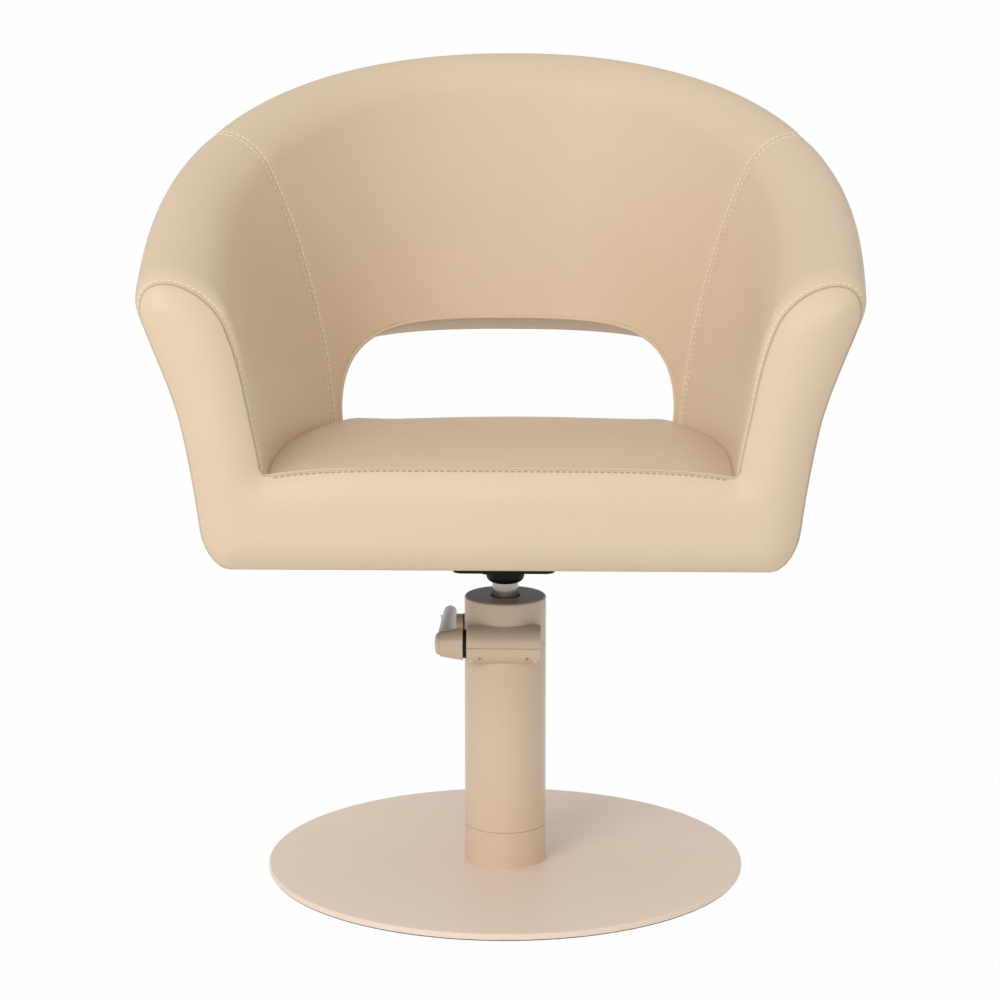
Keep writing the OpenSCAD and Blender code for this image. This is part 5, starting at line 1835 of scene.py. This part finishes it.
@dataclass(frozen=True)
class Studio:
    """Camera, floor, backdrop and lights of the photograph.

    Places are in metres, angles in degrees and the sensor in millimetres.
    """

    camera_at: Triple = (0.0831, -3.627, 1.1855)
    pitch: float = 12.3
    yaw: float = 1.4
    focal_pixels: float = 3575.0
    frame_pixels: float = 1000.0
    sensor: float = 36.0
    clip_end: float = 60.0
    floor_reach: float = 30.0
    floor_white: float = 0.86
    floor_roughness: float = 0.9
    floor_light: float = 0.97
    world_light: float = 0.744
    key: SoftBox = SoftBox("key_box", (-1.5, -2.9, 2.2), (0, 0, 0.5), (1.8, 1.8), 52)
    strip: SoftBox = SoftBox("strip_box", (0.25, -3.4, 2.0), (0, 0, 0.3), (0.25, 1.4), 5)

    def add_camera(self) -> None:
        """Adds the camera at the photograph's place and angle."""
        data = bpy.data.cameras.new("studio_camera")
        data.sensor_width = self.sensor
        data.lens = self.focal_pixels / self.frame_pixels * self.sensor
        data.clip_end = self.clip_end
        camera = bpy.data.objects.new("studio_camera", data)
        camera.location = self.camera_at
        camera.rotation_euler = Euler((math.radians(90 - self.pitch), 0, math.radians(self.yaw)))
        bpy.context.scene.collection.objects.link(camera)
        bpy.context.scene.camera = camera

    def add_floor(self) -> None:
        """Adds the pale floor, almost all glow to the camera, with a trace of the chair's shadow."""
        g = Graph("studio_floor")
        paths = g.node("ShaderNodeLightPath")
        seen = Value(g, paths.outputs["Is Camera Ray"]) + Value(g, paths.outputs["Is Glossy Ray"])
        seen = (seen + Value(g, paths.outputs["Is Transmission Ray"])).clamped()
        look = {"Base Color": (self.floor_white,) * 3, "Roughness": self.floor_roughness}
        base = g.node("ShaderNodeBsdfPrincipled", {}, look)
        glow = g.node("ShaderNodeEmission", {}, {"Color": (1.0, 1.0, 1.0), "Strength": 1.0})
        shaders = {0: seen * self.floor_light, 1: base.outputs[0], 2: glow.outputs[0]}
        mix = g.node("ShaderNodeMixShader", {}, shaders)
        g.tree.links.new(mix.outputs[0], g.output.inputs["Surface"])
        corners = np.array([[-1, -1, 0], [1, -1, 0], [1, 1, 0], [-1, 1, 0]]) * self.floor_reach
        floor = make_piece("studio_floor", corners / MM, np.array([[0, 1, 2, 3]]))
        floor.data.materials.append(g.material)

    def add_world(self) -> None:
        """Adds a sky that is white to the camera and through glass, and softer as a light."""
        world = bpy.data.worlds.new("studio_world")
        bpy.context.scene.world = world
        world.use_nodes = True
        tree = world.node_tree
        tree.nodes.clear()
        paths = tree.nodes.new("ShaderNodeLightPath")
        seen = tree.nodes.new("ShaderNodeMath")
        seen.operation = "MAXIMUM"
        tree.links.new(paths.outputs["Is Camera Ray"], seen.inputs[0])
        tree.links.new(paths.outputs["Is Transmission Ray"], seen.inputs[1])
        strength = tree.nodes.new("ShaderNodeMapRange")
        strength.inputs["To Min"].default_value = self.world_light
        strength.inputs["To Max"].default_value = 1.0
        tree.links.new(seen.outputs[0], strength.inputs["Value"])
        sky = tree.nodes.new("ShaderNodeBackground")
        sky.inputs["Color"].default_value = (1, 1, 1, 1)
        tree.links.new(strength.outputs[0], sky.inputs["Strength"])
        out = tree.nodes.new("ShaderNodeOutputWorld")
        tree.links.new(sky.outputs[0], out.inputs["Surface"])

    def build(self) -> None:
        """Adds everything round the chair."""
        self.add_floor()
        self.add_world()
        self.key.add()
        self.strip.add()
        bpy.context.scene.view_settings.view_transform = "Standard"


def dress_seat(
    pieces: dict[str, tuple[bpy.types.Object, tuple[str, ...]]], leather: bpy.types.Material
) -> None:
    """Gives the padded pieces their leather, body and place in the frame.

    Args:
        pieces: each piece with the frame's pieces that it stands for, by name.
        leather: their material.
    """
    for name, (piece, stands_for) in pieces.items():
        piece.data.materials.append(leather)
        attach(piece, SEAT)
        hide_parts(*stands_for)
        LOG.info("%s: %d faces", name, len(piece.data.polygons))


def main() -> None:
    """Builds the chair's looks round the frame and reports each piece."""
    logging.basicConfig(level=logging.INFO, format="%(message)s")
    studio = Studio()
    studio.add_camera()
    stitching, seat_row = Stitching(), Stitching(name="seat_thread")
    Stand().dress(frame["nodes"])
    pieces = {
        "right arm": (ArmCover(side=Side.RIGHT).build(stitching), ("right_arm_cover",)),
        "left arm": (ArmCover(side=Side.LEFT).build(stitching), ("left_arm_cover",)),
        "back": (BackCover().build(stitching), ("back_cover",)),
        "opening strip": (OpeningTrim().build(stitching), ("opening_trim",)),
        "rear wall": (RearCover().build(), ("rear_cover",)),
        "front": (FrontPanel().build(seat_row), ("front_panel",)),
        "seat": (SeatCushion().build(), ("seat_cushion",)),
    }
    dress_seat(pieces, Leather().build())
    bar = LeverArm().build()
    bar.data.materials.append(frame["nodes"]["lever_arm"].data.materials[0])
    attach(bar, LEVER)
    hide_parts("lever_arm")
    # A darker copy of the cream thread: painted shade on the seat row's stitches.
    shaded_thread = Thread("shaded_thread", tone=(0.50, 0.35, 0.22), dark=(0.36, 0.24, 0.14))
    for rows, finish in ((stitching, Thread()), (seat_row, shaded_thread)):
        thread = rows.build()
        thread.data.materials.append(finish.build())
        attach(thread, SEAT)
        LOG.info("%s: %d faces", thread.name, len(thread.data.polygons))
    cloth = DustCover().build()
    cloth.data.materials.append(Cloth().build())
    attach(cloth, SEAT)
    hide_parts("dust_cover")
    LOG.info("underside cloth: %d faces", len(cloth.data.polygons))
    studio.build()


if __name__ == "__main__":
    main()
